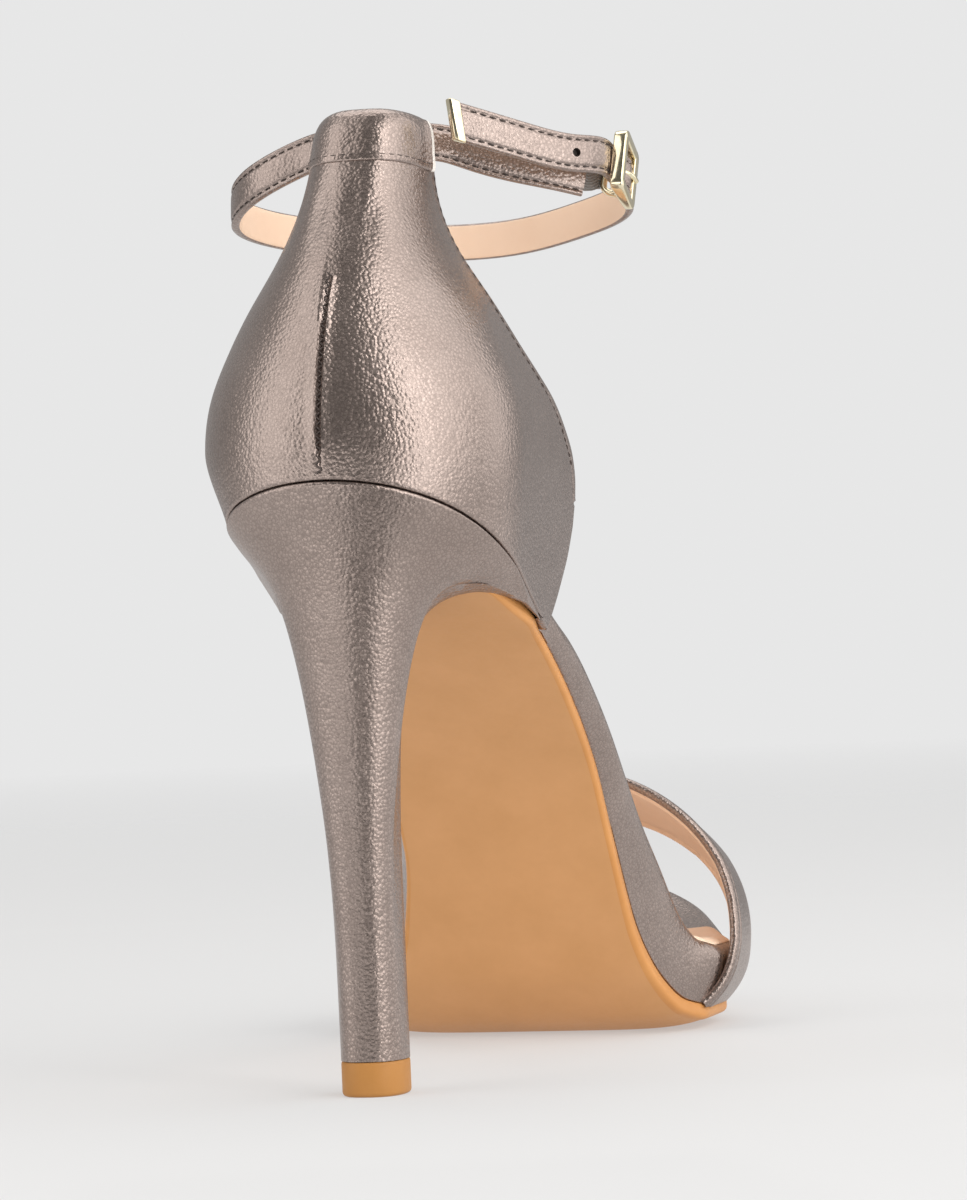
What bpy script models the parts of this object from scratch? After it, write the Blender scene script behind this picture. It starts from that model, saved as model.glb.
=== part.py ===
"""Heeled ankle-strap sandal, right shoe, size 37, standing on the floor at z = 0.

The origin is the middle of the walking face of the heel. +X is the outer side, +Y the toe, +Z up.
Sizes are in millimetres and are scaled to metres when each mesh is made.
"""
import math

import bmesh
import bpy
import numpy as np
from mathutils import Matrix

MM = 0.001

# Driving dimensions, in millimetres
GAP = 0.3                # clearance between pieces that meet
UPPER_WALL = 1.8         # leather and lining of the counter
STRAP_WIDTH = 6.8        # ankle strap
STRAP_THICK = 1.6
TOE_STRAP_WALL = 1.8
SOCK_THICK = 1.2
SOCK_GAP = 0.45
SOCK_INSET = 1.3         # platform edge left showing round the sock lining
SOCK_END = 148.0         # straight front edge of the sock lining
CUP = 1.6                # rise of the footbed edges
TOP_PIECE_HEIGHT = 6.2
SEAT_HEIGHT = 99.0       # underside of the seat above the heel's middle
SEAT_SLOPE = 0.545       # fall of the seat toward the toe
WING_Y = 33.5            # front tip of the heel's wings
BREAST_Y = 12.0          # front of the heel on the centre line
BREAST_POWER = 9.0       # how squarely its front edge turns into the wings
WING_WALL = 1.7          # outsole inside the wings' outer face
TOE_START = 150.0        # where the toe's rounding begins
TOE_TIP = 185.0
TOE_SHIFT = -8.0         # the tip of the toe lies toward the inner side
TOE_POWER = 1.5
COUNTER_TOP = 165.2
SLEEVE_MID = 170.2       # height of the strap's middle inside the sleeve
SLEEVE_REACH = 0.94      # how far round the sleeve goes, as a share of the counter's front edge
SLEEVE_DEPTH = 2.5       # middle of the strap inside the sleeve's outer face
SLEEVE_WALL = 0.85
INNER_TAPER = 0.2        # how much narrower the inner side of the seat is than the outer one
INNER_START = -14.0      # where along the seat that narrowing begins, and the length it takes
INNER_RUN = 24.0
INNER_TOP = 115.0        # height where it begins, and the fall it takes
INNER_FALL = 17.0
NECK_START = 125.0       # height above which the counter leans to the outer side
NECK_LEAN = 0.0007       # sideways lean for each millimetre of height squared

# One row for each section of the sole, square to its underside
# y, z: middle of the underside; platform, outsole: thicknesses
# top_out, top_in: half widths at the footbed; edge_out, edge_in: half widths at the outsole
SOLE_COLUMNS = ("y", "z", "platform", "outsole", "top_out", "top_in", "edge_out", "edge_in")
SOLE_SECTIONS = (
    (-20.0, 109.9, 5.0, 1.8, 25.0, 25.0, 24.0, 24.0),
    (0.0, 99.0, 5.0, 1.8, 25.0, 25.0, 24.0, 24.0),
    (38.5, 78.0, 5.0, 1.8, 26.4, 21.5, 24.4, 20.0),
    (54.0, 68.6, 5.2, 2.0, 26.8, 20.8, 24.2, 18.4),
    (71.0, 55.4, 5.8, 2.2, 26.8, 20.4, 23.8, 17.2),
    (84.0, 40.2, 9.0, 2.5, 26.6, 21.4, 23.4, 17.9),
    (95.0, 24.4, 12.6, 2.8, 27.8, 25.2, 23.8, 21.6),
    (104.0, 12.2, 13.6, 3.0, 29.6, 30.4, 26.2, 27.4),
    (113.0, 5.2, 13.3, 3.0, 32.4, 36.2, 29.4, 33.6),
    (121.0, 3.3, 13.0, 3.0, 34.4, 39.8, 31.6, 37.4),
    (135.0, 3.3, 12.6, 3.0, 34.0, 41.2, 31.4, 39.0),
    (150.0, 5.2, 12.2, 2.9, 28.6, 38.6, 26.2, 36.4),
    (168.0, 9.4, 11.6, 2.8, 24.0, 36.0, 22.0, 34.0),
    (185.0, 15.0, 11.0, 2.8, 20.0, 34.0, 18.0, 32.0),
)

# One row for each level of the counter: back line, half width, length of the rounded back
COUNTER_COLUMNS = ("z", "back", "half", "round")
COUNTER_LEVELS = (
    (78.0, -18.8, 25.6, 34.0),
    (90.0, -18.8, 26.7, 32.0),
    (100.0, -18.8, 27.8, 31.0),
    (108.0, -18.6, 28.7, 30.0),
    (116.0, -17.6, 29.0, 29.0),
    (124.0, -16.0, 27.8, 28.0),
    (132.0, -13.4, 24.8, 27.0),
    (140.0, -10.0, 21.0, 26.0),
    (148.0, -5.8, 16.2, 24.0),
    (156.0, -1.0, 12.6, 20.0),
    (164.0, 3.2, 11.0, 17.0),
    (172.0, 6.4, 10.4, 14.5),
    (180.0, 9.0, 10.2, 13.0),
)

# Front edge of the counter: height and how far forward
TOPLINE_COLUMNS = ("z", "front")
TOPLINE = (
    (80.7, 33.5),
    (84.5, 37.6),
    (89.0, 41.6),
    (95.0, 45.8),
    (102.0, 47.8),
    (106.5, 47.2),
    (111.5, 44.8),
    (117.0, 40.0),
    (122.0, 35.8),
    (127.0, 31.0),
    (133.0, 26.6),
    (138.5, 23.8),
    (144.0, 22.2),
    (152.0, 20.6),
    (163.0, 20.0),
    (174.0, 20.4),
)
TOPLINE_NOSE = 102.0     # height of its most forward point

# Heel levels as shares of the way from the top piece to the seat, and how far each side has flared
HEEL_COLUMNS = ("share", "side", "back", "front")
HEEL_LEVELS = (
    (0.0, 0.0, 0.0, 0.0),
    (0.18, 0.0, 0.03, -0.05),
    (0.38, 0.01, 0.12, -0.14),
    (0.55, 0.06, 0.24, -0.12),
    (0.68, 0.125, 0.36, 0.0),
    (0.78, 0.21, 0.48, 0.16),
    (0.85, 0.32, 0.59, 0.32),
    (0.90, 0.49, 0.70, 0.48),
    (0.94, 0.70, 0.81, 0.64),
    (0.97, 0.87, 0.91, 0.80),
    (0.987, 0.945, 0.96, 0.91),
    (1.0, 1.0, 1.0, 1.0),
)
WING_OUT = 0.7           # how late the wings leave the shaft sideways, and then forward
WING_LATE = 4.0
WING_FLOOR = 0.973       # level of the wings' lower edge, flush with the outsole
TIP_HALF_WIDTH = 5.9
TIP_BACK = -6.4
TIP_FRONT = 6.0

# Ankle strap beyond the sleeve: middle line of the band as x, y, z, first its short outer end,
# then from the inner side of the sleeve round the ankle, through the buckle and on to the tip
STRAP_SHORT_END = (
    (35.5, 36.1, 162.0),
    (31.4, 33.2, 163.2),
    (24.4, 29.4, 165.0),
    (17.8, 26.2, 167.2),
    (12.8, 23.6, 169.0),
)
STRAP_ROUND = (
    (-10.3, 23.4, 169.0),
    (-17.8, 25.6, 166.8),
    (-26.0, 28.6, 163.2),
    (-30.8, 35.4, 160.0),
    (-30.4, 46.0, 157.6),
    (-22.0, 59.0, 155.4),
    (-5.0, 66.5, 153.6),
    (14.0, 65.0, 153.6),
    (29.5, 58.0, 156.0),
    (40.8, 46.6, 160.5),
    (40.6, 43.5, 161.9),
    (40.4, 40.4, 163.3),
    (40.2, 37.3, 164.7),
    (39.8, 34.2, 165.6),
    (35.8, 28.6, 166.2),
    (28.0, 22.2, 168.5),
    (18.8, 15.6, 171.9),
)

STRAP_LEAN = 0.04        # lean of the ankle strap, as rise over run
SLEEVE_LEAN = 0.36
LEAN_SIGN = -1.0         # the band runs clockwise from above, so its right is inward

# Buckle
FRAME_LENGTH = 10.6
FRAME_HEIGHT = 11.6
FRAME_BAR = 1.7
FRAME_THICK = 0.9
FRAME_EASE = 0.2
BUCKLE_GAP = 0.45
BUCKLE_MIDDLE = (40.4, 40.4, 163.3)
BUCKLE_AHEAD = (0.06, 0.91, -0.41)     # along the strap, toward its front run
PRONG_RADIUS = 0.6
ELASTIC_THICK = 1.2
ELASTIC_WIDTH = 4.0
ELASTIC_DROP = 1.4       # its middle line below the buckle's
TIP_LENGTH = 1.9

# Toe strap: rear and front edges, on the footbed and at the top of the arch
STRAP_FOOT = 2.2         # lower ends of the toe strap above the underside of the platform
STRAP_ARC = 0.84         # share of the toe strap above the rim of the platform
STRAP_CLEAR = 1.1        # toe strap outside the platform
SIDE_BULGE = 0.5         # roundness of the platform's sides
TOE_STRAP_COLUMNS = ("edge", "y_foot", "y_crown", "crown", "power")
TOE_STRAP = (
    (0.0, 118.0, 128.0, 50.6, 2.1),
    (0.5, 132.0, 142.0, 46.2, 2.05),
    (1.0, 147.5, 154.0, 40.6, 2.0),
)


def table(rows, columns):
    """Columns of a table as arrays, by name."""
    return {name: np.array([row[i] for row in rows], float) for i, name in enumerate(columns)}


def smooth(knots, values, at):
    """Monotone cubic through the knots, with no overshoot."""
    knots = np.asarray(knots, float)
    values = np.asarray(values, float)
    step = np.diff(knots)
    rate = np.diff(values) / step
    slope = np.zeros(len(knots))
    for i in range(1, len(knots) - 1):
        if rate[i - 1] * rate[i] > 0.0:
            a = 2.0 * step[i] + step[i - 1]
            b = step[i] + 2.0 * step[i - 1]
            slope[i] = (a + b) / (a / rate[i - 1] + b / rate[i])
    slope[0] = rate[0]
    slope[-1] = rate[-1]
    at = np.clip(np.atleast_1d(np.asarray(at, float)), knots[0], knots[-1])
    k = np.clip(np.searchsorted(knots, at, side="right") - 1, 0, len(step) - 1)
    t = (at - knots[k]) / step[k]
    h00 = (1.0 + 2.0 * t) * (1.0 - t) ** 2
    h10 = t * (1.0 - t) ** 2
    h01 = t * t * (3.0 - 2.0 * t)
    h11 = t * t * (t - 1.0)
    return h00 * values[k] + h10 * step[k] * slope[k] + h01 * values[k + 1] + h11 * step[k] * slope[k + 1]


def spline(points, count):
    """Even points along a natural cubic through the given points."""
    points = np.asarray(points, float)
    chord = np.concatenate([[0.0], np.cumsum(np.linalg.norm(np.diff(points, axis=0), axis=1))])
    n = len(points)
    step = np.diff(chord)
    system = np.eye(n)
    right = np.zeros((n, points.shape[1]))
    for i in range(1, n - 1):
        system[i, i - 1] = step[i - 1]
        system[i, i] = 2.0 * (step[i - 1] + step[i])
        system[i, i + 1] = step[i]
        right[i] = 6.0 * ((points[i + 1] - points[i]) / step[i] - (points[i] - points[i - 1]) / step[i - 1])
    bend = np.linalg.solve(system, right)
    fine = np.linspace(0.0, chord[-1], 40 * n)
    k = np.clip(np.searchsorted(chord, fine, side="right") - 1, 0, n - 2)
    h = step[k][:, None]
    a = (chord[k + 1] - fine)[:, None] / h
    b = 1.0 - a
    line = a * points[k] + b * points[k + 1]
    line += ((a ** 3 - a) * bend[k] + (b ** 3 - b) * bend[k + 1]) * h * h / 6.0
    length = np.concatenate([[0.0], np.cumsum(np.linalg.norm(np.diff(line, axis=0), axis=1))])
    even = np.linspace(0.0, length[-1], count)
    return np.stack([np.interp(even, length, line[:, i]) for i in range(points.shape[1])], axis=1)


SOLE = table(SOLE_SECTIONS, SOLE_COLUMNS)
LEVELS = table(COUNTER_LEVELS, COUNTER_COLUMNS)
EDGE = table(TOPLINE, TOPLINE_COLUMNS)
HEEL = table(HEEL_LEVELS, HEEL_COLUMNS)
STRAP = table(TOE_STRAP, TOE_STRAP_COLUMNS)


def ease(share):
    """Soft step from 0 to 1 as the share goes from 0 to 1."""
    share = min(max(share, 0.0), 1.0)
    return share * share * (3.0 - 2.0 * share)


def sole(name, y):
    """One column of the sole table at y."""
    return float(smooth(SOLE["y"], SOLE[name], y)[0])


def sole_normal(y):
    """Direction square to the underside at y, upward, as (y, z)."""
    fall = (sole("z", y + 0.5) - sole("z", y - 0.5)) / 1.0
    length = math.hypot(1.0, fall)
    return -fall / length, 1.0 / length


def toe_round(y):
    """Share of the width left at y as the toe closes."""
    if y <= TOE_START:
        return 1.0
    share = min((y - TOE_START) / (TOE_TIP - TOE_START), 1.0)
    return max(1.0 - share ** (TOE_POWER + 0.5), 0.0) ** (1.0 / TOE_POWER)


def counter_point(angle, z):
    """Outer face of the counter: angle round from the back seam, positive to the outer side."""
    back = float(smooth(LEVELS["z"], LEVELS["back"], z)[0])
    half = float(smooth(LEVELS["z"], LEVELS["half"], z)[0])
    deep = float(smooth(LEVELS["z"], LEVELS["round"], z)[0])
    turn = abs(angle)
    if turn <= math.pi / 2.0:
        x = half * math.sin(turn)
        y = back + deep * (1.0 - math.cos(turn))
    else:
        x = half
        y = back + deep * (1.0 + turn - math.pi / 2.0)
    if angle < 0.0:
        forward = ease((y - INNER_START) / INNER_RUN)
        low = ease((INNER_TOP - z) / INNER_FALL)
        x *= INNER_TAPER * forward * low - 1.0
    x += NECK_LEAN * max(z - NECK_START, 0.0) ** 2
    return np.array([x, y, z])


def counter_angle(y, z):
    """Angle at which the counter reaches y at height z."""
    back = float(smooth(LEVELS["z"], LEVELS["back"], z)[0])
    deep = float(smooth(LEVELS["z"], LEVELS["round"], z)[0])
    share = (y - back) / deep
    if share <= 1.0:
        return math.acos(1.0 - max(share, 0.0))
    return math.pi / 2.0 + share - 1.0


def counter_half(y, z, side):
    """Half width of the counter at y and height z, side 1 outer and -1 inner."""
    return abs(float(counter_point(side * counter_angle(y, z), z)[0]))


def counter_out(angle, z):
    """Outward direction of the counter, kept level."""
    ahead = counter_point(angle + 0.03, z) - counter_point(angle - 0.03, z)
    out = np.array([ahead[1], -ahead[0], 0.0])
    return out / np.linalg.norm(out)


def counter_room(y, z, side, inset):
    """Half width left inside the counter at y and height z, inset from its outer face."""
    low = 0.0
    high = 2.8
    for _ in range(24):
        turn = 0.5 * (low + high)
        place = counter_point(side * turn, z) - inset * counter_out(side * turn, z)
        if place[1] < y:
            low = turn
        else:
            high = turn
    return max(side * float(place[0]), 0.5)


def seat_z(y):
    return SEAT_HEIGHT - SEAT_SLOPE * y


def rim_point(angle):
    """Foot of the counter, on the plane of the seat."""
    z = 100.0
    for _ in range(30):
        z = 0.5 * z + 0.5 * seat_z(counter_point(angle, z)[1])
    return counter_point(angle, z)


def half_widths(y, level):
    """Outer and inner half widths of the sole at y, level 0 at the outsole and 1 at the footbed."""
    outer = sole("edge_out", y) + level * (sole("top_out", y) - sole("edge_out", y))
    inner = sole("edge_in", y) + level * (sole("top_in", y) - sole("edge_in", y))
    if y < WING_Y + 4.5:
        z = seat_z(y)
        inset = UPPER_WALL + GAP + 0.5
        room_out = counter_room(y, z + 2.0 * level, 1.0, inset)
        room_in = counter_room(y, z + 2.0 * level, -1.0, inset)
        blend = min(max((y - WING_Y - 1.0) / 3.5, 0.0), 1.0)
        outer = room_out + blend * (outer - room_out)
        inner = room_in + blend * (inner - room_in)
    if y > TOE_START:
        keep = toe_round(y)
        share = (y - TOE_START) / (TOE_TIP - TOE_START)
        width = 0.5 * (sole("top_out", TOE_START) + sole("top_in", TOE_START)) - 2.2 * (1.0 - level)
        first = 0.5 * (sole("top_out", TOE_START) - sole("top_in", TOE_START))
        middle = first + share * (TOE_SHIFT - first)
        outer = middle + width * keep
        inner = width * keep - middle
    return outer, inner


def sole_point(y, x, height):
    """A point of the sole: across, and square above the underside."""
    ny, nz = sole_normal(y)
    return np.array([x, y + height * ny, sole("z", y) + height * nz])


def make_object(name, mesh, material):
    item = bpy.data.objects.new(name, mesh)
    parts.objects.link(item)
    mesh.materials.clear()
    mesh.materials.append(material)
    return item


def loft(name, rings, material):
    """Closed solid through rings of equal counts, with flat ends."""
    bm = bmesh.new()
    rows = [[bm.verts.new(np.asarray(point) * MM) for point in ring] for ring in rings]
    count = len(rings[0])
    for first, second in zip(rows[:-1], rows[1:]):
        for i in range(count):
            j = (i + 1) % count
            bm.faces.new((first[i], first[j], second[j], second[i]))
    ends = [bm.faces.new(list(reversed(rows[0]))), bm.faces.new(rows[-1])]
    bmesh.ops.triangulate(bm, faces=ends, quad_method="BEAUTY", ngon_method="BEAUTY")
    bmesh.ops.recalc_face_normals(bm, faces=bm.faces)
    mesh = bpy.data.meshes.new(name)
    bm.to_mesh(mesh)
    bm.free()
    return make_object(name, mesh, material)


def sheet(name, across, along, place, thickness, material, offset=-1.0):
    """Grid shaped by a function of two shares, given its wall by Solidify."""
    bm = bmesh.new()
    bmesh.ops.create_grid(bm, x_segments=across, y_segments=along, size=1.0)
    for vert in bm.verts:
        vert.co = np.asarray(place(vert.co.x, vert.co.y)) * MM
    mesh = bpy.data.meshes.new(name)
    bm.to_mesh(mesh)
    bm.free()
    item = make_object(name, mesh, material)
    wall = item.modifiers.new("wall", "SOLIDIFY")
    wall.thickness = thickness * MM
    wall.offset = offset
    wall.use_even_offset = True
    return item


def material(name, color, roughness, metallic):
    item = bpy.data.materials.new(name)
    item.use_nodes = True
    shader = item.node_tree.nodes["Principled BSDF"]
    shader.inputs["Base Color"].default_value = (*color, 1.0)
    shader.inputs["Roughness"].default_value = roughness
    shader.inputs["Metallic"].default_value = metallic
    return item


def build_platform(mat):
    stops = np.concatenate([
        [-15.4, -14.6, -12.8, -10.0, -5.0, 2.0, 12.0, 24.0, WING_Y + 1.0, WING_Y + 4.6],
        np.linspace(46.0, 86.0, 7),
        np.linspace(91.0, 125.0, 9),
        [132.0, 141.0, 150.0, 158.0, 165.0, 171.0, 176.0, 180.0, 182.6, 184.2],
    ])
    rings = []
    for y in stops:
        thick = sole("platform", y)
        out_low, in_low = half_widths(y, 0.0)
        out_top, in_top = half_widths(y, 1.0)
        bulge = SIDE_BULGE if y > WING_Y + 4.0 else 0.0
        cup = CUP * min(1.0, (out_top + in_top) / 60.0)
        profile = [(out_low, 0.0), (0.5 * (out_low + out_top) + bulge, 0.5), (out_top, 0.86)]
        ring = [sole_point(y, x, share * thick) for x, share in profile]
        for share in (0.96, 0.6, 0.2, -0.2, -0.6, -0.96):
            middle = 0.5 * (out_top - in_top)
            half = 0.5 * (out_top + in_top)
            ring.append(sole_point(y, middle + share * half, thick - cup * (1.0 - share * share)))
        profile = [(-in_top, 0.86), (-0.5 * (in_low + in_top) - bulge, 0.5), (-in_low, 0.0)]
        ring += [sole_point(y, x, share * thick) for x, share in profile]
        for share in (-0.5, 0.0, 0.5):
            middle = 0.5 * (out_low - in_low)
            half = 0.5 * (out_low + in_low)
            ring.append(sole_point(y, middle + share * half, 0.0))
        rings.append(ring)
    return loft("platform", rings, mat)


def breast_y(share):
    """Front edge of the heel under the seat, for a share of the way out to a wing."""
    return BREAST_Y + (WING_Y - 1.5 - BREAST_Y) * abs(share) ** BREAST_POWER


def breast_half(y):
    """Share of the width the outsole has at y, just ahead of the heel's front edge."""
    share = (y - BREAST_Y - 1.0) / (WING_Y - 1.5 - BREAST_Y)
    return min(max(share, 0.0), 1.0) ** (1.0 / BREAST_POWER)


def build_outsole(mat):
    stops = np.concatenate([
        [13.4, 14.4, 16.5, 19.5, 23.5, 28.0, 33.0, 38.0],
        np.linspace(46.0, 86.0, 6),
        np.linspace(91.0, 125.0, 9),
        [132.0, 141.0, 150.0, 158.0, 165.0, 171.0, 176.0, 180.0, 182.6, 184.2],
    ])
    rings = []
    for y in stops:
        thick = sole("outsole", y)
        outer, inner = half_widths(y, 0.0)
        if y < WING_Y + 4.0:
            seat = seat_z(WING_Y)
            outer = (counter_half(WING_Y, seat, 1.0) - WING_WALL) * breast_half(y)
            inner = (counter_half(WING_Y, seat, -1.0) - WING_WALL) * breast_half(y)
        middle = 0.5 * (outer - inner)
        half = 0.5 * (outer + inner)
        low = -GAP - thick
        profile = [
            (1.0, -GAP), (1.0, low + 0.7), (0.975, low), (0.5, low), (0.0, low), (-0.5, low),
            (-0.975, low), (-1.0, low + 0.7), (-1.0, -GAP), (-0.5, -GAP), (0.0, -GAP), (0.5, -GAP),
        ]
        rings.append([sole_point(y, middle + share * half, h) for share, h in profile])
    return loft("outsole", rings, mat)


def build_sock(mat):
    stops = np.concatenate([
        [-13.0, -11.8, -9.5, -5.0, 2.0, 12.0, 24.0, WING_Y],
        np.linspace(40.0, 86.0, 7),
        np.linspace(91.0, 125.0, 9),
        [131.0, 137.0, 142.0, SOCK_END],
    ])
    rings = []
    for y in stops:
        thick = sole("platform", y)
        outer, inner = half_widths(y, 1.0)
        half = 0.5 * (outer + inner)
        middle = 0.5 * (outer - inner)
        cup = CUP * min(1.0, 2.0 * half / 60.0)
        reach = max(half - SOCK_INSET, 0.5)
        ring = []
        shares = (1.0, 0.6, 0.2, -0.2, -0.6, -1.0)
        for share in shares:
            bed = thick - cup * (1.0 - (share * reach / half) ** 2)
            ring.append(sole_point(y, middle + share * reach, bed + SOCK_GAP))
        for share in reversed(shares):
            bed = thick - cup * (1.0 - (share * reach / half) ** 2)
            ring.append(sole_point(y, middle + share * reach, bed + SOCK_GAP + SOCK_THICK))
        rings.append(ring)
    return loft("sock_lining", rings, mat)


def tip_outline(count_back, count_front):
    """Section of the heel at the top piece, from the outer front corner round the back."""
    ring = []
    for turn in np.linspace(-0.5 * math.pi, 0.5 * math.pi, count_back):
        power = 0.8
        x = -math.copysign(abs(math.sin(turn)) ** power, turn) * TIP_HALF_WIDTH
        y = 1.0 + (TIP_BACK - 1.0) * abs(math.cos(turn)) ** 0.9
        ring.append((x, y))
    for share in np.linspace(-1.0, 1.0, count_front + 2)[1:-1]:
        x = TIP_HALF_WIDTH * math.copysign(abs(share) ** 0.8, share)
        y = 1.0 + (TIP_FRONT - 1.0) * (1.0 - abs(share) ** 4.0) ** 0.5
        ring.append((x, y))
    return ring


def build_heel(mat):
    count_back = 19
    count_front = 11
    foot = tip_outline(count_back, count_front)
    wing_angle = counter_angle(WING_Y, seat_z(WING_Y))
    crown = []
    for turn in np.linspace(wing_angle, -wing_angle, count_back):
        point = rim_point(turn)
        crown.append(np.array([point[0], point[1], seat_z(point[1]) - GAP]))
    wing_out = crown[0][0] - 0.5
    wing_in = -crown[-1][0] - 0.5
    for share in np.linspace(-1.0, 1.0, count_front + 2)[1:-1]:
        y = breast_y(share)
        x = share * (wing_out if share > 0.0 else wing_in)
        crown.append(np.array([x, y, seat_z(y) - GAP]))
    start = TOP_PIECE_HEIGHT + GAP
    rings = []
    for k in range(len(HEEL_LEVELS)):
        ring = []
        for i, (fx, fy) in enumerate(foot):
            top = crown[i]
            wing = (max(0.0, top[1] - 2.0) / WING_Y) ** 1.3
            level = HEEL["share"][k] * (1.0 + wing * (1.0 / WING_FLOOR - 1.0))
            side = float(smooth(HEEL["share"], HEEL["side"], level)[0]) ** (1.0 + WING_OUT * wing)
            forward = HEEL["side"][k] ** (1.0 + WING_LATE * wing)
            if i < count_back:
                back = max(0.0, math.cos(math.pi * (i / (count_back - 1) - 0.5))) ** 2
                grow = side + back * (HEEL["back"][k] - side)
                ahead = grow + ease((top[1] + 2.0) / 8.0) * (forward - grow)
            else:
                middle = 1.0 - abs(2.0 * (i - count_back + 1) / (count_front + 1) - 1.0)
                grow = side
                ahead = forward + middle * (HEEL["front"][k] - forward)
            x = fx + grow * (top[0] - fx)
            y = fy + ahead * (top[1] - fy)
            z = start + HEEL["share"][k] * (seat_z(y) - GAP - start)
            ring.append((x, y, z))
        rings.append(ring)
    return loft("heel", rings, mat)


def build_top_piece(mat):
    outline = tip_outline(19, 11)
    rings = []
    for z, inset in ((0.0, 0.5), (0.5, 0.1), (TOP_PIECE_HEIGHT, 0.0)):
        shrink = 1.0 - inset / TIP_HALF_WIDTH
        rings.append([(x * shrink, y * shrink, z) for x, y in outline])
    return loft("top_piece", rings, mat)


def counter_bounds(share):
    """Foot and top of the counter's column, as (angle, z), for a share from the back to the nose."""
    wing_angle = counter_angle(WING_Y, seat_z(WING_Y))
    if share <= 0.8:
        angle = wing_angle * share / 0.8
        foot = (angle, rim_point(angle)[2])
    else:
        rise = (share - 0.8) / 0.2
        z = EDGE["z"][0] + rise * (TOPLINE_NOSE - EDGE["z"][0])
        foot = (counter_angle(float(smooth(EDGE["z"], EDGE["front"], z)[0]), z), z)
    corner = counter_angle(float(smooth(EDGE["z"], EDGE["front"], COUNTER_TOP)[0]), COUNTER_TOP)
    if share <= 0.3:
        top = (corner * share / 0.3, COUNTER_TOP)
    else:
        fall = (share - 0.3) / 0.7
        z = COUNTER_TOP + fall * (TOPLINE_NOSE - COUNTER_TOP)
        top = (counter_angle(float(smooth(EDGE["z"], EDGE["front"], z)[0]), z), z)
    return foot, top


def build_counter(mat):
    def place(u, v):
        share = min(abs(u), 1.0) * 0.965
        foot, top = counter_bounds(share)
        rise = 0.5 * (v + 1.0)
        angle = foot[0] + rise * (top[0] - foot[0])
        z = foot[1] + rise * (top[1] - foot[1])
        return counter_point(angle if u >= 0.0 else -angle, z)
    return sheet("counter", 40, 14, place, UPPER_WALL, mat)


def build_sleeve(mat):
    """Top of the counter folded inward into a tunnel, as a hook that is open under the strap."""
    outer_face = ((0.0, 165.5), (0.0, 168.0), (0.0, 171.0), (-0.25, 173.2), (-1.0, 174.7))
    fold = ((-2.5, 175.4), (-4.0, 174.9), (-4.9, 173.4))
    inner_leg = ((-5.1, 170.5), (-5.0, 168.0), (-4.4, 166.0), (-3.5, 164.9), (-2.5, 164.7))
    hook = outer_face + fold + inner_leg
    corner = counter_angle(float(smooth(EDGE["z"], EDGE["front"], SLEEVE_MID)[0]), SLEEVE_MID)

    def place(u, v):
        out, z = hook[round(0.5 * (v + 1.0) * (len(hook) - 1))]
        angle = u * SLEEVE_REACH * corner
        return counter_point(angle, z) + out * counter_out(angle, z)
    return sheet("heel_sleeve", 14, len(hook) - 1, place, SLEEVE_WALL, mat)


def strap_line():
    """Middle line of the whole ankle strap, from the short end to the tip."""
    corner = counter_angle(float(smooth(EDGE["z"], EDGE["front"], SLEEVE_MID)[0]), SLEEVE_MID)
    inside = []
    for share in np.linspace(0.97, -0.97, 9):
        angle = corner * share
        inside.append(counter_point(angle, SLEEVE_MID) - SLEEVE_DEPTH * counter_out(angle, SLEEVE_MID))
    return np.array(list(STRAP_SHORT_END) + inside + list(STRAP_ROUND))


def strap_frames(line):
    """Tangent, width and thickness directions along a band that stands on edge.

    The band leans in at the top, most of all in the sleeve, where it follows the counter.
    """
    ahead = np.gradient(line, axis=0)
    ahead /= np.linalg.norm(ahead, axis=1)[:, None]
    wide = []
    for point, along in zip(line, ahead):
        level = np.array([-along[1], along[0], 0.0])
        level /= np.linalg.norm(level)
        from_back = math.hypot(point[0], point[1] - 7.5)
        lean = STRAP_LEAN + SLEEVE_LEAN * math.exp(-(from_back / 10.0) ** 2)
        up = np.array([0.0, 0.0, 1.0]) + LEAN_SIGN * lean * level
        up -= along * (along @ up)
        wide.append(up / np.linalg.norm(up))
    wide = np.array(wide)
    return ahead, wide, np.cross(ahead, wide)


def band(name, line, width, thick, mat):
    """Flat band with eased edges along a line."""
    ahead, wide, out = strap_frames(line)
    ease = 0.35 * thick
    section = (
        (0.5 * width, 0.5 * thick - ease), (0.5 * width - ease, 0.5 * thick),
        (ease - 0.5 * width, 0.5 * thick), (-0.5 * width, 0.5 * thick - ease),
        (-0.5 * width, ease - 0.5 * thick), (ease - 0.5 * width, -0.5 * thick),
        (0.5 * width - ease, -0.5 * thick), (0.5 * width, ease - 0.5 * thick),
    )
    rings = []
    for point, w, o in zip(line, wide, out):
        rings.append([point + a * w + b * o for a, b in section])
    return loft(name, rings, mat)


def buckle_axes():
    """Along the strap, across it and out from it, where the buckle sits."""
    ahead = np.array(BUCKLE_AHEAD)
    ahead /= np.linalg.norm(ahead)
    up = np.array([0.0, 0.0, 1.0])
    wide = up - ahead * (ahead @ up)
    wide /= np.linalg.norm(wide)
    return ahead, wide, np.cross(ahead, wide)


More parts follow.
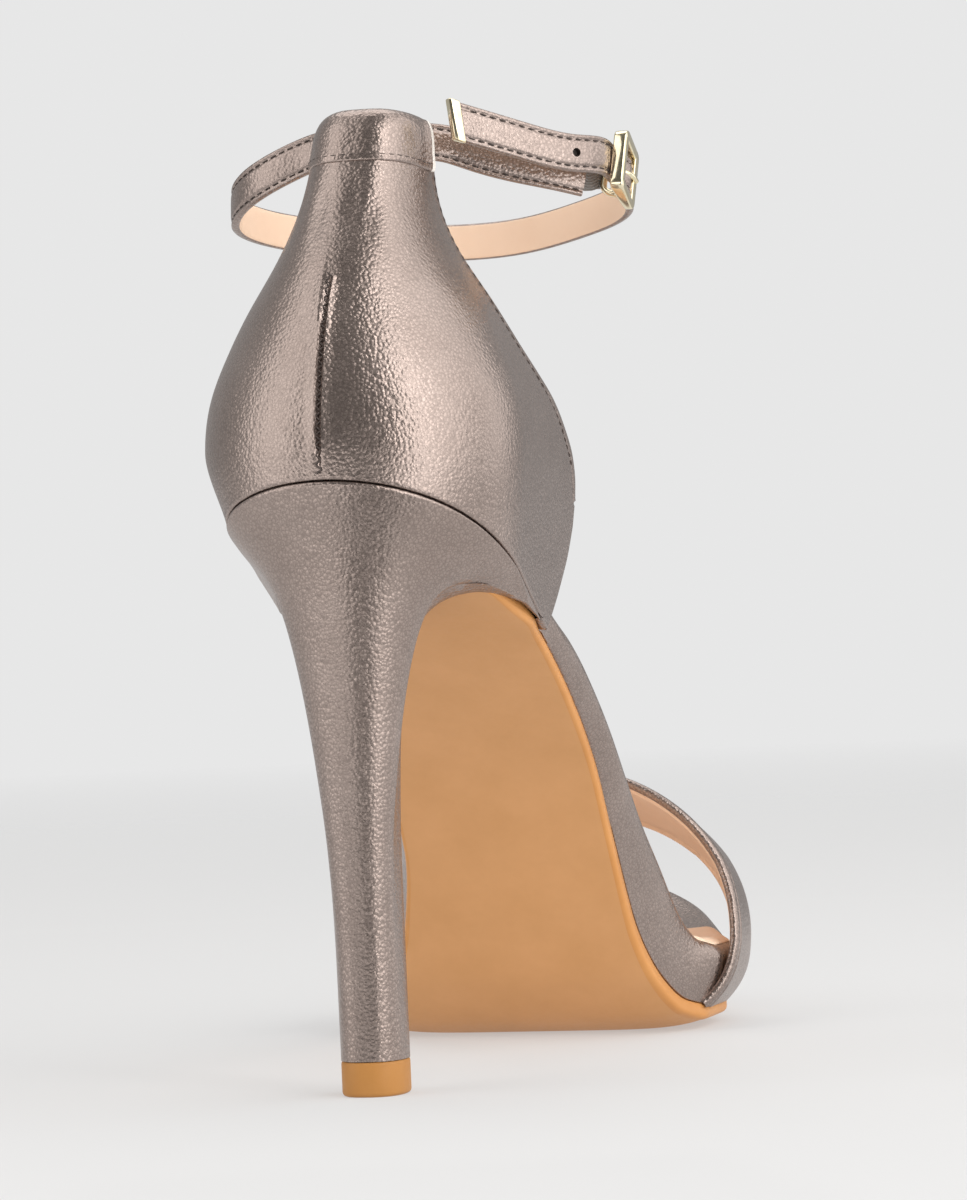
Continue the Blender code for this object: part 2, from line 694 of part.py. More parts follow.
def outline_mesh(name, loops, thick, axes, middle):
    """Flat outline extruded about its plane and eased, set on three axes."""
    shape = bpy.data.curves.new(name, "CURVE")
    shape.dimensions = "2D"
    shape.fill_mode = "BOTH"
    for corners in loops:
        line = shape.splines.new("POLY")
        line.points.add(len(corners) - 1)
        for point, (x, y) in zip(line.points, corners):
            point.co = (x * MM, y * MM, 0.0, 1.0)
        line.use_cyclic_u = True
    shape.extrude = (0.5 * thick - FRAME_EASE) * MM
    shape.bevel_depth = FRAME_EASE * MM
    shape.bevel_resolution = 0
    shape.offset = -FRAME_EASE * MM
    source = bpy.data.objects.new(name, shape)
    bpy.context.scene.collection.objects.link(source)
    bpy.context.view_layer.update()
    mesh = bpy.data.meshes.new_from_object(source.evaluated_get(bpy.context.evaluated_depsgraph_get()))
    bpy.data.objects.remove(source)
    first, second, third = axes
    turn = Matrix([
        [first[i], second[i], third[i], middle[i] * MM] for i in range(3)
    ] + [[0.0, 0.0, 0.0, 1.0]])
    mesh.transform(turn)
    tidy = bmesh.new()
    tidy.from_mesh(mesh)
    bmesh.ops.remove_doubles(tidy, verts=tidy.verts, dist=1e-6)
    bmesh.ops.recalc_face_normals(tidy, faces=tidy.faces)
    tidy.to_mesh(mesh)
    tidy.free()
    return mesh


def rectangle(left, right, tall):
    return ((left, -tall), (right, -tall), (right, tall), (left, tall))


def build_buckle(mat):
    """Rectangular frame over the strap, joined with a centre bar that dips under it."""
    ahead, wide, out = buckle_axes()
    middle = np.array(BUCKLE_MIDDLE)
    half_l = 0.5 * FRAME_LENGTH
    half_h = 0.5 * FRAME_HEIGHT
    over = 0.5 * STRAP_THICK + BUCKLE_GAP + 0.5 * FRAME_THICK
    ring = (
        rectangle(-half_l, half_l, half_h),
        rectangle(FRAME_BAR - half_l, half_l - FRAME_BAR, half_h - FRAME_BAR),
    )
    frame_mesh = outline_mesh("buckle_frame", ring, FRAME_THICK, (ahead, wide, out), middle + over * out)
    frame = make_object("buckle_frame", frame_mesh, mat)
    low = -over - 0.5 * FRAME_THICK
    floor = low + FRAME_THICK
    inner = half_h - FRAME_BAR + 0.2
    dip = ((
        (-half_h + 0.2, over), (-half_h + 0.2, low), (half_h - 0.2, low), (half_h - 0.2, over),
        (inner, over), (inner, floor), (-inner, floor), (-inner, over),
    ),)
    bar_mesh = outline_mesh("centre_bar", dip, 1.6, (wide, out, ahead), middle)
    bar = bpy.data.objects.new("centre_bar", bar_mesh)
    cutters.objects.link(bar)
    bar.hide_render = True
    bar.display_type = "WIRE"
    join = frame.modifiers.new("centre_bar", "BOOLEAN")
    join.operation = "UNION"
    join.solver = "EXACT"
    join.object = bar
    return frame


def build_prong(mat):
    """Pin over the strap, from its hole to the front bar of the frame."""
    ahead, wide, out = buckle_axes()
    middle = np.array(BUCKLE_MIDDLE)
    over = 0.5 * STRAP_THICK + BUCKLE_GAP + FRAME_THICK + GAP + PRONG_RADIUS
    near = 0.5 * STRAP_THICK + GAP + PRONG_RADIUS
    line = spline((
        middle + 0.2 * ahead + near * out,
        middle + 2.6 * ahead + (over + 0.15) * out,
        middle + (0.5 * FRAME_LENGTH + 0.2) * ahead + (over + 0.05) * out,
    ), 7)
    shape = bpy.data.curves.new("buckle_prong", "CURVE")
    shape.dimensions = "3D"
    shape.bevel_depth = PRONG_RADIUS * MM
    shape.bevel_resolution = 2
    shape.use_fill_caps = True
    path = shape.splines.new("POLY")
    path.points.add(len(line) - 1)
    for point, place in zip(path.points, line):
        point.co = (*(place * MM), 1.0)
    item = bpy.data.objects.new("buckle_prong", shape)
    parts.objects.link(item)
    shape.materials.append(mat)
    return item


def build_elastic(mat):
    """Loop of elastic from the short end of the strap to the centre bar."""
    ahead, wide, out = buckle_axes()
    middle = np.array(BUCKLE_MIDDLE)
    under = 0.5 * STRAP_THICK + BUCKLE_GAP + FRAME_THICK + BUCKLE_GAP + 0.5 * ELASTIC_THICK
    end = middle + 0.6 * ahead - under * out - ELASTIC_DROP * wide
    start = np.array(STRAP_SHORT_END[0])
    away = start - np.array(STRAP_SHORT_END[1])
    away /= np.linalg.norm(away)
    first = start + (GAP + 2.4) * away - 1.0 * out
    last = end - 1.5 * ahead
    line = spline((first, 0.5 * (first + last) - 0.4 * out, last, end), 8)
    return band("elastic_loop", line, ELASTIC_WIDTH, ELASTIC_THICK, mat)


def build_strap_tip(line, mat):
    """Metal cap that follows the end of the strap."""
    away = line[-1] - line[-2]
    away /= np.linalg.norm(away)
    stops = [line[-1] + reach * away for reach in (GAP, GAP + 0.9, GAP + TIP_LENGTH)]
    return band("strap_tip", np.array(stops), STRAP_WIDTH + 0.3, STRAP_THICK + 0.5, mat)


def build_toe_strap(mat):
    def place(u, v):
        edge = 0.5 * (v + 1.0)
        y_foot = float(smooth(STRAP["edge"], STRAP["y_foot"], edge)[0])
        y_crown = float(smooth(STRAP["edge"], STRAP["y_crown"], edge)[0])
        crown = float(smooth(STRAP["edge"], STRAP["crown"], edge)[0])
        power = float(smooth(STRAP["edge"], STRAP["power"], edge)[0])
        foot_z = sole("z", y_foot) + STRAP_FOOT
        rim_z = sole("z", y_foot) + sole("platform", y_foot)
        share = min(abs(u) / STRAP_ARC, 1.0)
        down = max((abs(u) - STRAP_ARC) / (1.0 - STRAP_ARC), 0.0)
        rise = abs(math.cos(0.5 * math.pi * share)) ** (2.0 / power)
        reach = abs(math.sin(0.5 * math.pi * share)) ** (2.0 / power)
        z = rim_z + (crown - rim_z) * rise - (rim_z - foot_z) * down
        above = max(z - foot_z, 0.0)
        beside = min(above, rim_z - foot_z)
        y = y_foot + (y_crown - y_foot) * min(1.0, above / 26.0) ** 0.8
        y_side = y_foot + (y_crown - y_foot) * min(1.0, beside / 26.0) ** 0.8
        outer, inner = half_widths(y_side, 1.0 - down)
        spread = 0.5 * (outer + inner) + STRAP_CLEAR + SIDE_BULGE * math.sin(math.pi * down)
        middle = 0.5 * (outer - inner)
        return np.array([middle + math.copysign(reach * spread, u), y, z])
    return sheet("toe_strap", 36, 6, place, TOE_STRAP_WALL, mat, offset=1.0)


for old in list(bpy.data.objects):
    bpy.data.objects.remove(old)

parts = bpy.data.collections.new("heeled_sandal")
bpy.context.scene.collection.children.link(parts)
cutters = bpy.data.collections.new("cutters")
bpy.context.scene.collection.children.link(cutters)

leather = material("metallic_leather", (0.30, 0.26, 0.235), 0.34, 0.6)
lining = material("sock_leather", (0.78, 0.60, 0.44), 0.6, 0.0)
tan = material("sole_leather", (0.55, 0.30, 0.13), 0.55, 0.0)
rubber = material("top_piece_rubber", (0.50, 0.22, 0.06), 0.6, 0.0)
gold = material("pale_gold", (0.83, 0.75, 0.54), 0.22, 1.0)
ribbed = material("grey_elastic", (0.34, 0.31, 0.29), 0.8, 0.0)

build_outsole(tan)
build_platform(leather)
build_sock(lining)
build_heel(leather)
build_top_piece(rubber)
build_counter(leather)
build_sleeve(leather)
build_toe_strap(leather)
whole = spline(strap_line(), 96)
band("ankle_strap", whole, STRAP_WIDTH, STRAP_THICK, leather)
build_strap_tip(whole, gold)
build_buckle(gold)
build_prong(gold)
build_elastic(ribbed)
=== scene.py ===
"""Looks of the heeled ankle-strap sandal: fine surfaces, seams, stitches, materials, light and camera.

Sizes of the shoe are in millimetres in its own frame: origin under the heel, +X outer side, +Y toe, +Z up.
Sizes of the stage and of the leathers' grain are in metres.
"""
import bisect
import math

import bmesh
import bpy
import numpy as np
from mathutils import Matrix, Vector
from mathutils.kdtree import KDTree


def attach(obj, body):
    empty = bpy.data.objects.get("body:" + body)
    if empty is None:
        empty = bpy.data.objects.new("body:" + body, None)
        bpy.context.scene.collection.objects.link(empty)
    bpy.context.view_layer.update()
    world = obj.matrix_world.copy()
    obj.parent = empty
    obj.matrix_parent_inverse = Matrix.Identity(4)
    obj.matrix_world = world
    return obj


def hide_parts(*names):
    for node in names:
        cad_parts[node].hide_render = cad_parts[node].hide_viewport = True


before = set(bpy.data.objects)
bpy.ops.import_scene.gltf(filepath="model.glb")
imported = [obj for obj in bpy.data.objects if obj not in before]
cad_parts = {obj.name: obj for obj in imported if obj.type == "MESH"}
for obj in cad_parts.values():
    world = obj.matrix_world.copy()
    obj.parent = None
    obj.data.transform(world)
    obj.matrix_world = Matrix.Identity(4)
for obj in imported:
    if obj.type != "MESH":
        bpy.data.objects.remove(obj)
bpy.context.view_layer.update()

MM = 0.001

# Sizes of the shoe, the solids' own or close to them. A blend is the start and the run of a step.
GAP = 0.3
UPPER_WALL = 1.8
STRAP_WIDTH = 6.8
STRAP_THICK = 1.6
TOE_STRAP_WALL = 1.8
SOCK_THICK = 1.2
SOCK_GAP = 0.45
SOCK_INSET = 1.3
SOCK_CLEAR = 0.25        # sock in from the counter's lining
SOCK_SUNK = 0.1          # how much its face is pressed in
SOCK_SOFT = 0.92         # share of its half width from which its edges fall
SOCK_FALL = SOCK_THICK + SOCK_GAP - 0.25
SOCK_END = 148.0
SOCK_REAR = -19.0        # where the search for the sock's rear end starts
SOCK_REAR_HALF = 3.0     # half width at which it is found
CUP = 1.6
CUP_HALF = 30.0          # half width from which the bed is cupped in full
TOP_PIECE_HEIGHT = 6.2
SEAT_HEIGHT = 99.0
SEAT_SLOPE = 0.545
SEAT_INSET = UPPER_WALL + GAP + 0.5
FOOTBED_RISE = 2.0       # footbed over the seat, where it meets the counter
WING_Y = 33.5
WING_RUN = 4.5           # how far past the wings the sole keeps within the counter
WING_BLEND = (WING_Y - 1.0, 2.2)
CORNER_BLEND = (WING_Y + 2.0, 10.0)
SOCK_BLEND = (WING_Y + 0.5, 3.5)
BULGE_BLEND = (WING_Y + 2.0, 6.0)
PLATFORM_REAR = (-15.4, -15.0, -14.4)
PLATFORM_SEAT = -13.6
BREAST_Y = 12.0
BREAST_RUN = WING_Y - 1.5 - BREAST_Y
BREAST_POWER = 9.0
TONGUE_BACK = 2.6        # how far the outsole's tongue reaches in behind the heel's front
TONGUE_IN = 0.75         # outsole in from the heel's wings, which close over its edge
TONGUE_MORE = 0.7        # how much further in it is near the ends of the wings
TONGUE_BLEND = (26.0, 8.0)
TONGUE_OUT = (WING_Y - 2.0, 6.0)
LIP_BLEND = (WING_Y, -14.0)
TOE_START = 150.0
TOE_TIP = 185.0
TOE_SHIFT = -8.0
TOE_POWER = 0.45
TOE_BOW = (0.12, 0.25)   # fullness of the toe on its outer and inner side
TOE_DRAW = 2.2           # how much narrower the toe is at the outsole than at the footbed
COUNTER_TOP = 166.6
FOOT_SHARE = 0.8         # share of the counter's columns that stand on the heel's rim
TOP_SHARE = 0.3          # share of them that end at its level top
SLEEVE_MID = 170.2
SLEEVE_REACH = 0.94
SLEEVE_DEPTH = 2.5       # strap in from the counter's outer face
SLEEVE_WALL = 0.85
SLEEVE_FALL = (2.3, 1.4) # fall of the sleeve's top toward its inner and outer ends
SLEEVE_HIGH = (166.5, 7.0)
SLEEVE_FLARE = 0.5
FLARE_BLEND = (0.86, 0.14)
SEAM_ARC = 1.0
INNER_TAPER = 0.2
INNER_BLEND = (-14.0, 24.0)
INNER_LOW = (115.0, -17.0)
NECK_START = 125.0
NECK_LEAN = 0.0007
NECK_FLAT = 0.3          # how much flatter the neck is behind than below
NECK_BLEND = (136.0, 20.0)
SIDE_BULGE = 0.5
SLOPE_REACH = 0.5        # reach over which the sole's slope is taken at its rear
SLOPE_MORE = 3.5         # how much longer it is at its front
SLOPE_BLEND = (60.0, 20.0)

SOLE_COLUMNS = ("y", "z", "platform", "outsole", "top_out", "top_in", "edge_out", "edge_in")
SOLE_SECTIONS = (
    (-20.0, 109.9, 5.0, 1.8, 25.0, 25.0, 24.0, 24.0),
    (0.0, 99.0, 5.0, 1.8, 25.0, 25.0, 24.0, 24.0),
    (38.5, 78.0, 5.0, 1.8, 26.4, 21.5, 24.4, 20.0),
    (54.0, 68.6, 5.2, 2.0, 26.8, 20.8, 24.2, 18.4),
    (71.0, 55.4, 5.8, 2.2, 26.8, 20.4, 23.8, 17.2),
    (84.0, 40.2, 9.0, 2.5, 26.6, 21.4, 23.4, 17.9),
    (95.0, 24.4, 12.6, 2.8, 27.8, 25.2, 23.8, 21.6),
    (104.0, 12.2, 13.6, 3.0, 29.6, 30.4, 26.2, 27.4),
    (113.0, 5.2, 13.3, 3.0, 32.4, 36.2, 29.4, 33.6),
    (121.0, 3.3, 13.0, 3.0, 34.4, 39.8, 31.6, 37.4),
    (135.0, 3.3, 12.6, 3.0, 34.0, 41.2, 31.4, 39.0),
    (150.0, 5.2, 12.2, 2.9, 28.6, 38.6, 26.2, 36.4),
    (168.0, 10.2, 11.6, 2.8, 24.0, 36.0, 22.0, 34.0),
    (185.0, 16.2, 11.0, 2.8, 20.0, 34.0, 18.0, 32.0),
)

COUNTER_COLUMNS = ("z", "back", "half", "round")
COUNTER_LEVELS = (
    (78.0, -18.8, 25.6, 34.0),
    (90.0, -18.8, 26.7, 32.0),
    (100.0, -18.8, 27.8, 31.0),
    (108.0, -18.6, 28.7, 30.0),
    (116.0, -17.6, 29.0, 29.0),
    (124.0, -16.0, 27.8, 28.0),
    (132.0, -13.4, 24.8, 27.0),
    (140.0, -10.0, 21.0, 26.0),
    (148.0, -5.8, 16.2, 24.0),
    (156.0, -1.0, 12.6, 20.0),
    (164.0, 3.2, 11.0, 17.0),
    (172.0, 6.4, 10.4, 14.5),
    (180.0, 9.0, 10.2, 13.0),
)

TOPLINE_COLUMNS = ("z", "front")
TOPLINE = (
    (80.7, 33.5),
    (84.5, 37.6),
    (89.0, 41.6),
    (95.0, 45.8),
    (102.0, 47.8),
    (106.5, 47.2),
    (111.5, 44.8),
    (117.0, 40.0),
    (122.0, 35.8),
    (127.0, 31.0),
    (133.0, 26.6),
    (138.5, 23.8),
    (144.0, 22.2),
    (152.0, 20.6),
    (163.0, 20.0),
    (174.0, 20.4),
)
TOPLINE_NOSE = 102.0
NOSE_SHARE = 0.97        # last column of the counter, just short of its nose

HEEL_COLUMNS = ("share", "side", "back", "front")
HEEL_LEVELS = (
    (0.0, 0.0, 0.0, 0.0),
    (0.18, 0.0, 0.03, -0.05),
    (0.38, 0.01, 0.12, -0.14),
    (0.55, 0.06, 0.24, -0.12),
    (0.68, 0.125, 0.36, 0.0),
    (0.78, 0.21, 0.48, 0.16),
    (0.85, 0.32, 0.59, 0.32),
    (0.90, 0.49, 0.70, 0.48),
    (0.94, 0.70, 0.81, 0.64),
    (0.97, 0.87, 0.91, 0.80),
    (0.987, 0.945, 0.96, 0.91),
    (1.0, 1.0, 1.0, 1.0),
)
WING_OUT = 0.7
WING_LATE = 4.0
WING_FLOOR = 0.973
WING_START = 2.0
WING_POWER = 1.3
WING_IN = 0.5            # front face of the heel in from the ends of its wings
HEEL_SIDE_BLEND = (-2.0, 8.0)
TONGUE_LIP = 1.6         # how much the outsole thickens up to the heel's front
RIM_IN = 1.8             # reach of the rounding along the platform's top edge
RIM_HIGH = 2.4
SOLE_BEVEL = 1.7         # reach of the rounding under the outsole's edge at the toe
WAIST_BEVEL = 0.9        # the same at the waist
BEVEL_HIGH = 1.1
BEVEL_BLEND = (80.0, 40.0)
BEVEL_TURNS = (0.4, 0.8, 1.15, 1.57)
OUTSOLE_ACROSS = 33
OUTSOLE_BACK = 0.45      # how far the outsole's upper edge is drawn in
OUTSOLE_SUNK = 0.4 * GAP
OUTSOLE_SHOULDER = 0.55
OUTSOLE_REAR = BREAST_Y - 2.5
OUTSOLE_TONGUE = 25.5    # length of the tongue, where sections draw together toward the rear
OUTSOLE_WAIST = 36.0
CORNER_TUCK = 0.5        # how far the platform stays in behind the counter's front corners
SOLE_CROWN = 1.7         # how far the underside of the forefoot turns up at its edges
CROWN_BLEND = (96.0, 26.0)
HEEL_ROLL = 0.55         # rounding of the heel's upper rim under the counter
HEEL_ROLL_SHARE = 0.0065
HEEL_ROLL_TURNS = (20.0, 40.0, 60.0, 78.0, 90.0)
WING_ROLL = 8.0          # how soon the rolled rim ends past the tips of the wings
HEEL_GAP = 0.22
HEEL_FOOT = TOP_PIECE_HEIGHT + 0.1
HEEL_BACK = 121          # points of the heel's outline round its back
HEEL_FRONT = 71          # points of it along its front
TIP_HALF_WIDTH = 5.9
TIP_BACK = -6.4
TIP_FRONT = 6.0
TIP_MIDDLE = 1.0         # where the back and the front of its outline meet
# Height on the top piece and how far its side is drawn in there
TOP_PIECE_LEVELS = (
    (0.0, 0.7),
    (0.12, 0.35),
    (0.4, 0.1),
    (0.8, 0.0),
    (3.0, 0.0),
    (5.6, 0.0),
    (5.95, 0.06),
    (TOP_PIECE_HEIGHT, 0.25),
)

STRAP_SHORT_END = (
    (35.5, 36.1, 162.0),
    (31.4, 33.2, 163.2),
    (24.4, 29.4, 165.0),
    (17.8, 26.2, 167.2),
    (12.8, 23.6, 169.0),
)
STRAP_ROUND = (
    (-10.3, 23.4, 169.0),
    (-17.8, 25.6, 166.8),
    (-26.0, 28.6, 163.2),
    (-30.8, 35.4, 160.0),
    (-30.4, 46.0, 157.6),
    (-22.0, 59.0, 155.4),
    (-5.0, 66.5, 153.6),
    (14.0, 65.0, 153.6),
    (29.5, 58.0, 156.0),
    (40.8, 46.6, 160.5),
    (40.6, 43.5, 161.9),
    (40.4, 40.4, 163.3),
    (40.2, 37.3, 164.7),
    (39.8, 34.2, 165.6),
    (35.8, 28.6, 166.2),
    (28.0, 22.2, 168.5),
    (18.8, 15.6, 171.9),
)
STRAP_LEAN = 0.04
SLEEVE_LEAN = 0.36       # how much more the strap leans in the sleeve
SLEEVE_LEAN_REACH = 10.0
SLEEVE_Y = 7.5
SLEEVE_SAG = 0.9         # fall of the strap from the middle of the sleeve to its ends
STRAP_INSIDE = 0.97      # share of the counter's top that the strap runs behind
STRAP_EDGE = 0.5
STRAP_DOME = 0.14
STRAP_FACE = 0.05        # edges of its face below its full thickness
GROOVE_DEEP = 0.3
GROOVE_HALF = 0.32
STITCH_OUT = 0.62
# Way of the sleeve over the strap: distance out from the counter's face and height
SLEEVE_HOOK = (
    (0.30, 164.9),
    (0.42, 165.5),
    (0.42, 166.6),
    (0.38, 168.4),
    (0.3, 171.0),
    (-0.05, 173.2),
    (-0.9, 174.7),
    (-2.5, 175.4),
    (-4.0, 174.9),
    (-4.9, 173.4),
    (-5.1, 170.5),
    (-5.0, 168.0),
    (-4.4, 166.0),
    (-3.5, 164.9),
    (-2.5, 164.7),
)

FRAME_LENGTH = 10.6
FRAME_HEIGHT = 11.6
FRAME_BAR = 1.7
FRAME_THICK = 0.9
FRAME_CORNER = 0.7
FRAME_SOFT = 0.22
FRAME_REAR = (1.7, 0.45) # how much deeper and prouder the rear side of the frame is
FRAME_FRONT = (1.0, 0.0)
TIP_SOFT = 0.35
BUCKLE_GAP = 0.45
BUCKLE_MIDDLE = np.array((40.4, 40.4, 163.3))
BUCKLE_AHEAD = np.array((0.06, 0.91, -0.41))
BAR_RADIUS = 0.62
PRONG_RADIUS = 0.6
ELASTIC_THICK = 1.2
ELASTIC_WIDTH = 4.0
ELASTIC_DROP = 1.4
ELASTIC_RIB = 0.12       # half the depth of its ribs
ELASTIC_RIBS = 8.0
# Cap on the strap's free end: distance past it and how much smaller the cap is there
TIP_PROFILE = ((0.05, 0.3), (0.12, 0.1), (0.3, 0.0), (1.7, 0.0), (1.98, 0.1), (2.2, 0.35))

STRAP_FOOT = 2.1
STRAP_ARC = 0.84
STRAP_CLEAR = 1.1
STRAP_RISE = 26.0        # height over which the toe strap leans forward
FOOT_TUCK = 2.2          # how far the strap's feet turn in at the outsole
TOE_STRAP_COLUMNS = ("edge", "y_foot", "y_crown", "crown", "power")
TOE_STRAP = (
    (0.0, 118.0, 128.0, 50.6, 2.1),
    (0.5, 132.0, 142.0, 46.2, 2.05),
    (1.0, 147.5, 154.0, 40.6, 2.0),
)

# Seams and stitches
STITCH_PITCH = 1.9
STITCH_LENGTH = 1.3
STITCH_SHARES = (0.31, 0.9)
STRAP_STITCH_IN = 1.0    # strap stitches in from the edge
TOPLINE_STITCH_IN = 1.5  # counter stitches in from the topline
SEAM_TOP = 146.5         # upper end of the back seam
SEAM_RIDGE = 0.45        # rise of the two folds beside the back seam
SEAM_GROOVE = 0.75
SEAM_SOFT = 1.2
FOLD_OUT = 0.95          # folds out from the seam
FOLD_WIDE = 0.6
GROOVE_WIDE = 0.42
SEAM_FADE = 9.0          # height over which the folds run out at the foot
SEAM_STEP = 0.85
SEAM_HALF = 0.5          # half width of the zigzag
SEAM_PROUD = 0.42
FOOT_IN = 0.62           # how far the counter draws in at its foot, over the heel's rim
FOOT_REACH = 5.4
FOOT_BACK = (0.6, -0.4)  # blend of it over the counter's columns
FOOT_EDGE = 0.3          # how much of its round edge the counter has where it stands on the heel
FOOT_FREE = 0.06
STITCH_DENT = 0.16       # depth of the line that the topline's stitches press in
STITCH_DENT_WIDE = 0.45
TOPLINE_THREAD = 0.13
SEAM_THREAD = 0.15
SLEEVE_THREAD = 0.1
STRAP_THREAD = 0.115
SLEEVE_PITCH = 1.8
KEEL = 0.7               # how much the back seam draws the counter into a soft keel
KEEL_TURN = 0.24
KEEL_TOP = SEAM_TOP + 4.0
KEEL_SOFT = 6.0
# Creases in the neck of the counter: x, z, depth and half width
CREASES = ((-3.2, 157.0, 0.35, 1.6), (2.8, 158.0, 0.3, 1.5), (6.2, 155.0, 0.28, 1.8))
CREASE_TALL = 5.0
CREASE_FRONT = 14.0
# Groove and folds along both edges of the toe strap: distance in, rise and half width
STRAP_FOLDS = ((1.6, -0.4, 0.42), (0.6, 0.2, 0.7), (2.7, 0.12, 0.6))
HOLE_RADIUS = 0.8
HOLE_AHEAD = 13.6        # strap hole beyond the buckle's middle
BUCKLE_SWELL = 1.4       # how far the strap swells out through the buckle
SWELL_BACK = 2.2         # swell before the buckle's middle
SWELL_REACH = 2.4
END_SLANT = 0.42         # slant of the strap's free end
SLANT_RUN = 7.0


class Curve:
    """Cubic through the knots: monotone, with no overshoot, or natural, with an even bend."""

    def __init__(self, knots, values, natural=False):
        self.knots = [float(k) for k in knots]
        self.values = [float(v) for v in values]
        step = np.diff(self.knots)
        rate = np.diff(self.values) / step
        self.step = step.tolist()
        self.slope = self.natural(step, rate) if natural else self.monotone(step, rate)

    @staticmethod
    def monotone(step, rate):
        slope = [float(rate[0])]
        for i in range(1, len(step)):
            if rate[i - 1] * rate[i] > 0.0:
                a = 2.0 * step[i] + step[i - 1]
                b = step[i] + 2.0 * step[i - 1]
                slope.append(float((a + b) / (a / rate[i - 1] + b / rate[i])))
            else:
                slope.append(0.0)
        return slope + [float(rate[-1])]

    @staticmethod
    def natural(step, rate):
        n = len(step) + 1
        system = np.zeros((n, n))
        right = np.zeros(n)
        system[0, :2] = (2.0, 1.0)
        right[0] = 3.0 * rate[0]
        system[-1, -2:] = (1.0, 2.0)
        right[-1] = 3.0 * rate[-1]
        for i in range(1, n - 1):
            system[i, i - 1] = step[i]
            system[i, i] = 2.0 * (step[i] + step[i - 1])
            system[i, i + 1] = step[i - 1]
            right[i] = 3.0 * (step[i] * rate[i - 1] + step[i - 1] * rate[i])
        return np.linalg.solve(system, right).tolist()

    def __call__(self, at):
        at = min(max(at, self.knots[0]), self.knots[-1])
        k = min(bisect.bisect_right(self.knots, at) - 1, len(self.step) - 1)
        t = (at - self.knots[k]) / self.step[k]
        rest = 1.0 - t
        value = (1.0 + 2.0 * t) * rest * rest * self.values[k] + t * t * (3.0 - 2.0 * t) * self.values[k + 1]
        bend = t * rest * rest * self.slope[k] - t * t * rest * self.slope[k + 1]
        return value + bend * self.step[k]


def curves(rows, columns, natural=False):
    """A curve for each column of a table against its first column."""
    knots = [row[0] for row in rows]
    return {name: Curve(knots, [row[i] for row in rows], natural) for i, name in enumerate(columns)}


def unit(vectors):
    """Vectors of length one in the same directions."""
    return vectors / np.maximum(np.linalg.norm(vectors, axis=-1, keepdims=True), 1e-9)


def lengths(line):
    """Length along a line of points up to each of them."""
    return np.concatenate([[0.0], np.cumsum(np.linalg.norm(np.diff(line, axis=0), axis=1))])


def at_length(place, length, values):
    """Points or directions given along a line, read at one length or at several."""
    return np.stack([np.interp(place, length, values[:, i]) for i in range(3)], axis=-1)


def spline(points, count):
    """Even points along a natural cubic through the given points."""
    points = np.asarray(points, float)
    chord = lengths(points)
    fine = np.linspace(0.0, chord[-1], 60 * len(points))
    axes = [Curve(chord, points[:, i], natural=True) for i in range(3)]
    line = np.array([[axis(at) for axis in axes] for at in fine])
    length = lengths(line)
    return at_length(np.linspace(0.0, length[-1], count), length, line)


SOLE = curves(SOLE_SECTIONS, SOLE_COLUMNS)
LEVELS = curves(COUNTER_LEVELS, COUNTER_COLUMNS, natural=True)
EDGE = curves(TOPLINE, TOPLINE_COLUMNS)["front"]
HEEL = curves(HEEL_LEVELS, HEEL_COLUMNS)
STRAP = curves(TOE_STRAP, TOE_STRAP_COLUMNS)


# Forms of the shoe

def clip(at, start=0.0, run=1.0):
    """Straight step from 0 to 1 over a run from a start."""
    return min(max((at - start) / run, 0.0), 1.0)


def ease(at, start=0.0, run=1.0):
    """Soft step from 0 to 1 over a run from a start."""
    share = clip(at, start, run)
    return share * share * (3.0 - 2.0 * share)


def sole_point(y, x, height):
    """Point at a height square to the sole's underside, beside its middle line by x."""
    reach = SLOPE_REACH + SLOPE_MORE * ease(y, *SLOPE_BLEND)
    fall = 0.5 * (SOLE["z"](y + reach) - SOLE["z"](y - reach)) / reach
    length = math.hypot(1.0, fall)
    return np.array([x, y - height * fall / length, SOLE["z"](y) + height / length])


def counter_point(angle, z):
    """Outer face of the counter: angle round from the back seam, positive to the outer side."""
    back, half, deep = LEVELS["back"](z), LEVELS["half"](z), LEVELS["round"](z)
    turn = abs(angle)
    if turn <= math.pi / 2.0:
        x = half * math.sin(turn) ** (1.0 - NECK_FLAT * ease(z, *NECK_BLEND))
        y = back + deep * (1.0 - math.cos(turn))
    else:
        x = half
        y = back + deep * (1.0 + turn - math.pi / 2.0)
    if angle < 0.0:
        x *= INNER_TAPER * ease(y, *INNER_BLEND) * ease(z, *INNER_LOW) - 1.0
    x += NECK_LEAN * max(z - NECK_START, 0.0) ** 2
    return np.array([x, y, z])


def counter_angle(y, z):
    share = (y - LEVELS["back"](z)) / LEVELS["round"](z)
    if share <= 1.0:
        return math.acos(1.0 - max(share, 0.0))
    return math.pi / 2.0 + share - 1.0


def counter_half(y, z, side):
    return abs(float(counter_point(side * counter_angle(y, z), z)[0]))


def counter_out(angle, z):
    """Level direction square to the counter's outer face."""
    ahead = counter_point(angle + 0.03, z) - counter_point(angle - 0.03, z)
    return unit(np.array([ahead[1], -ahead[0], 0.0]))


def counter_room(y, z, side, inset):
    """Half width inside the counter at a place, found by halving the angle."""
    low, high = 0.0, 2.8
    for _ in range(24):
        turn = 0.5 * (low + high)
        place = counter_point(side * turn, z) - inset * counter_out(side * turn, z)
        if place[1] < y:
            low = turn
        else:
            high = turn
    return max(side * float(place[0]), 0.5)


def blend_reaches(y, z, inset, ahead, reaches):
    """Outer and inner reach, from the room inside the counter to those given as ahead goes from 0 to 1."""
    rooms = [counter_room(y, z, side, inset) for side in (1.0, -1.0)]
    return [room + ahead * (reach - room) for room, reach in zip(rooms, reaches)]


def seat_z(y):
    return SEAT_HEIGHT - SEAT_SLOPE * y


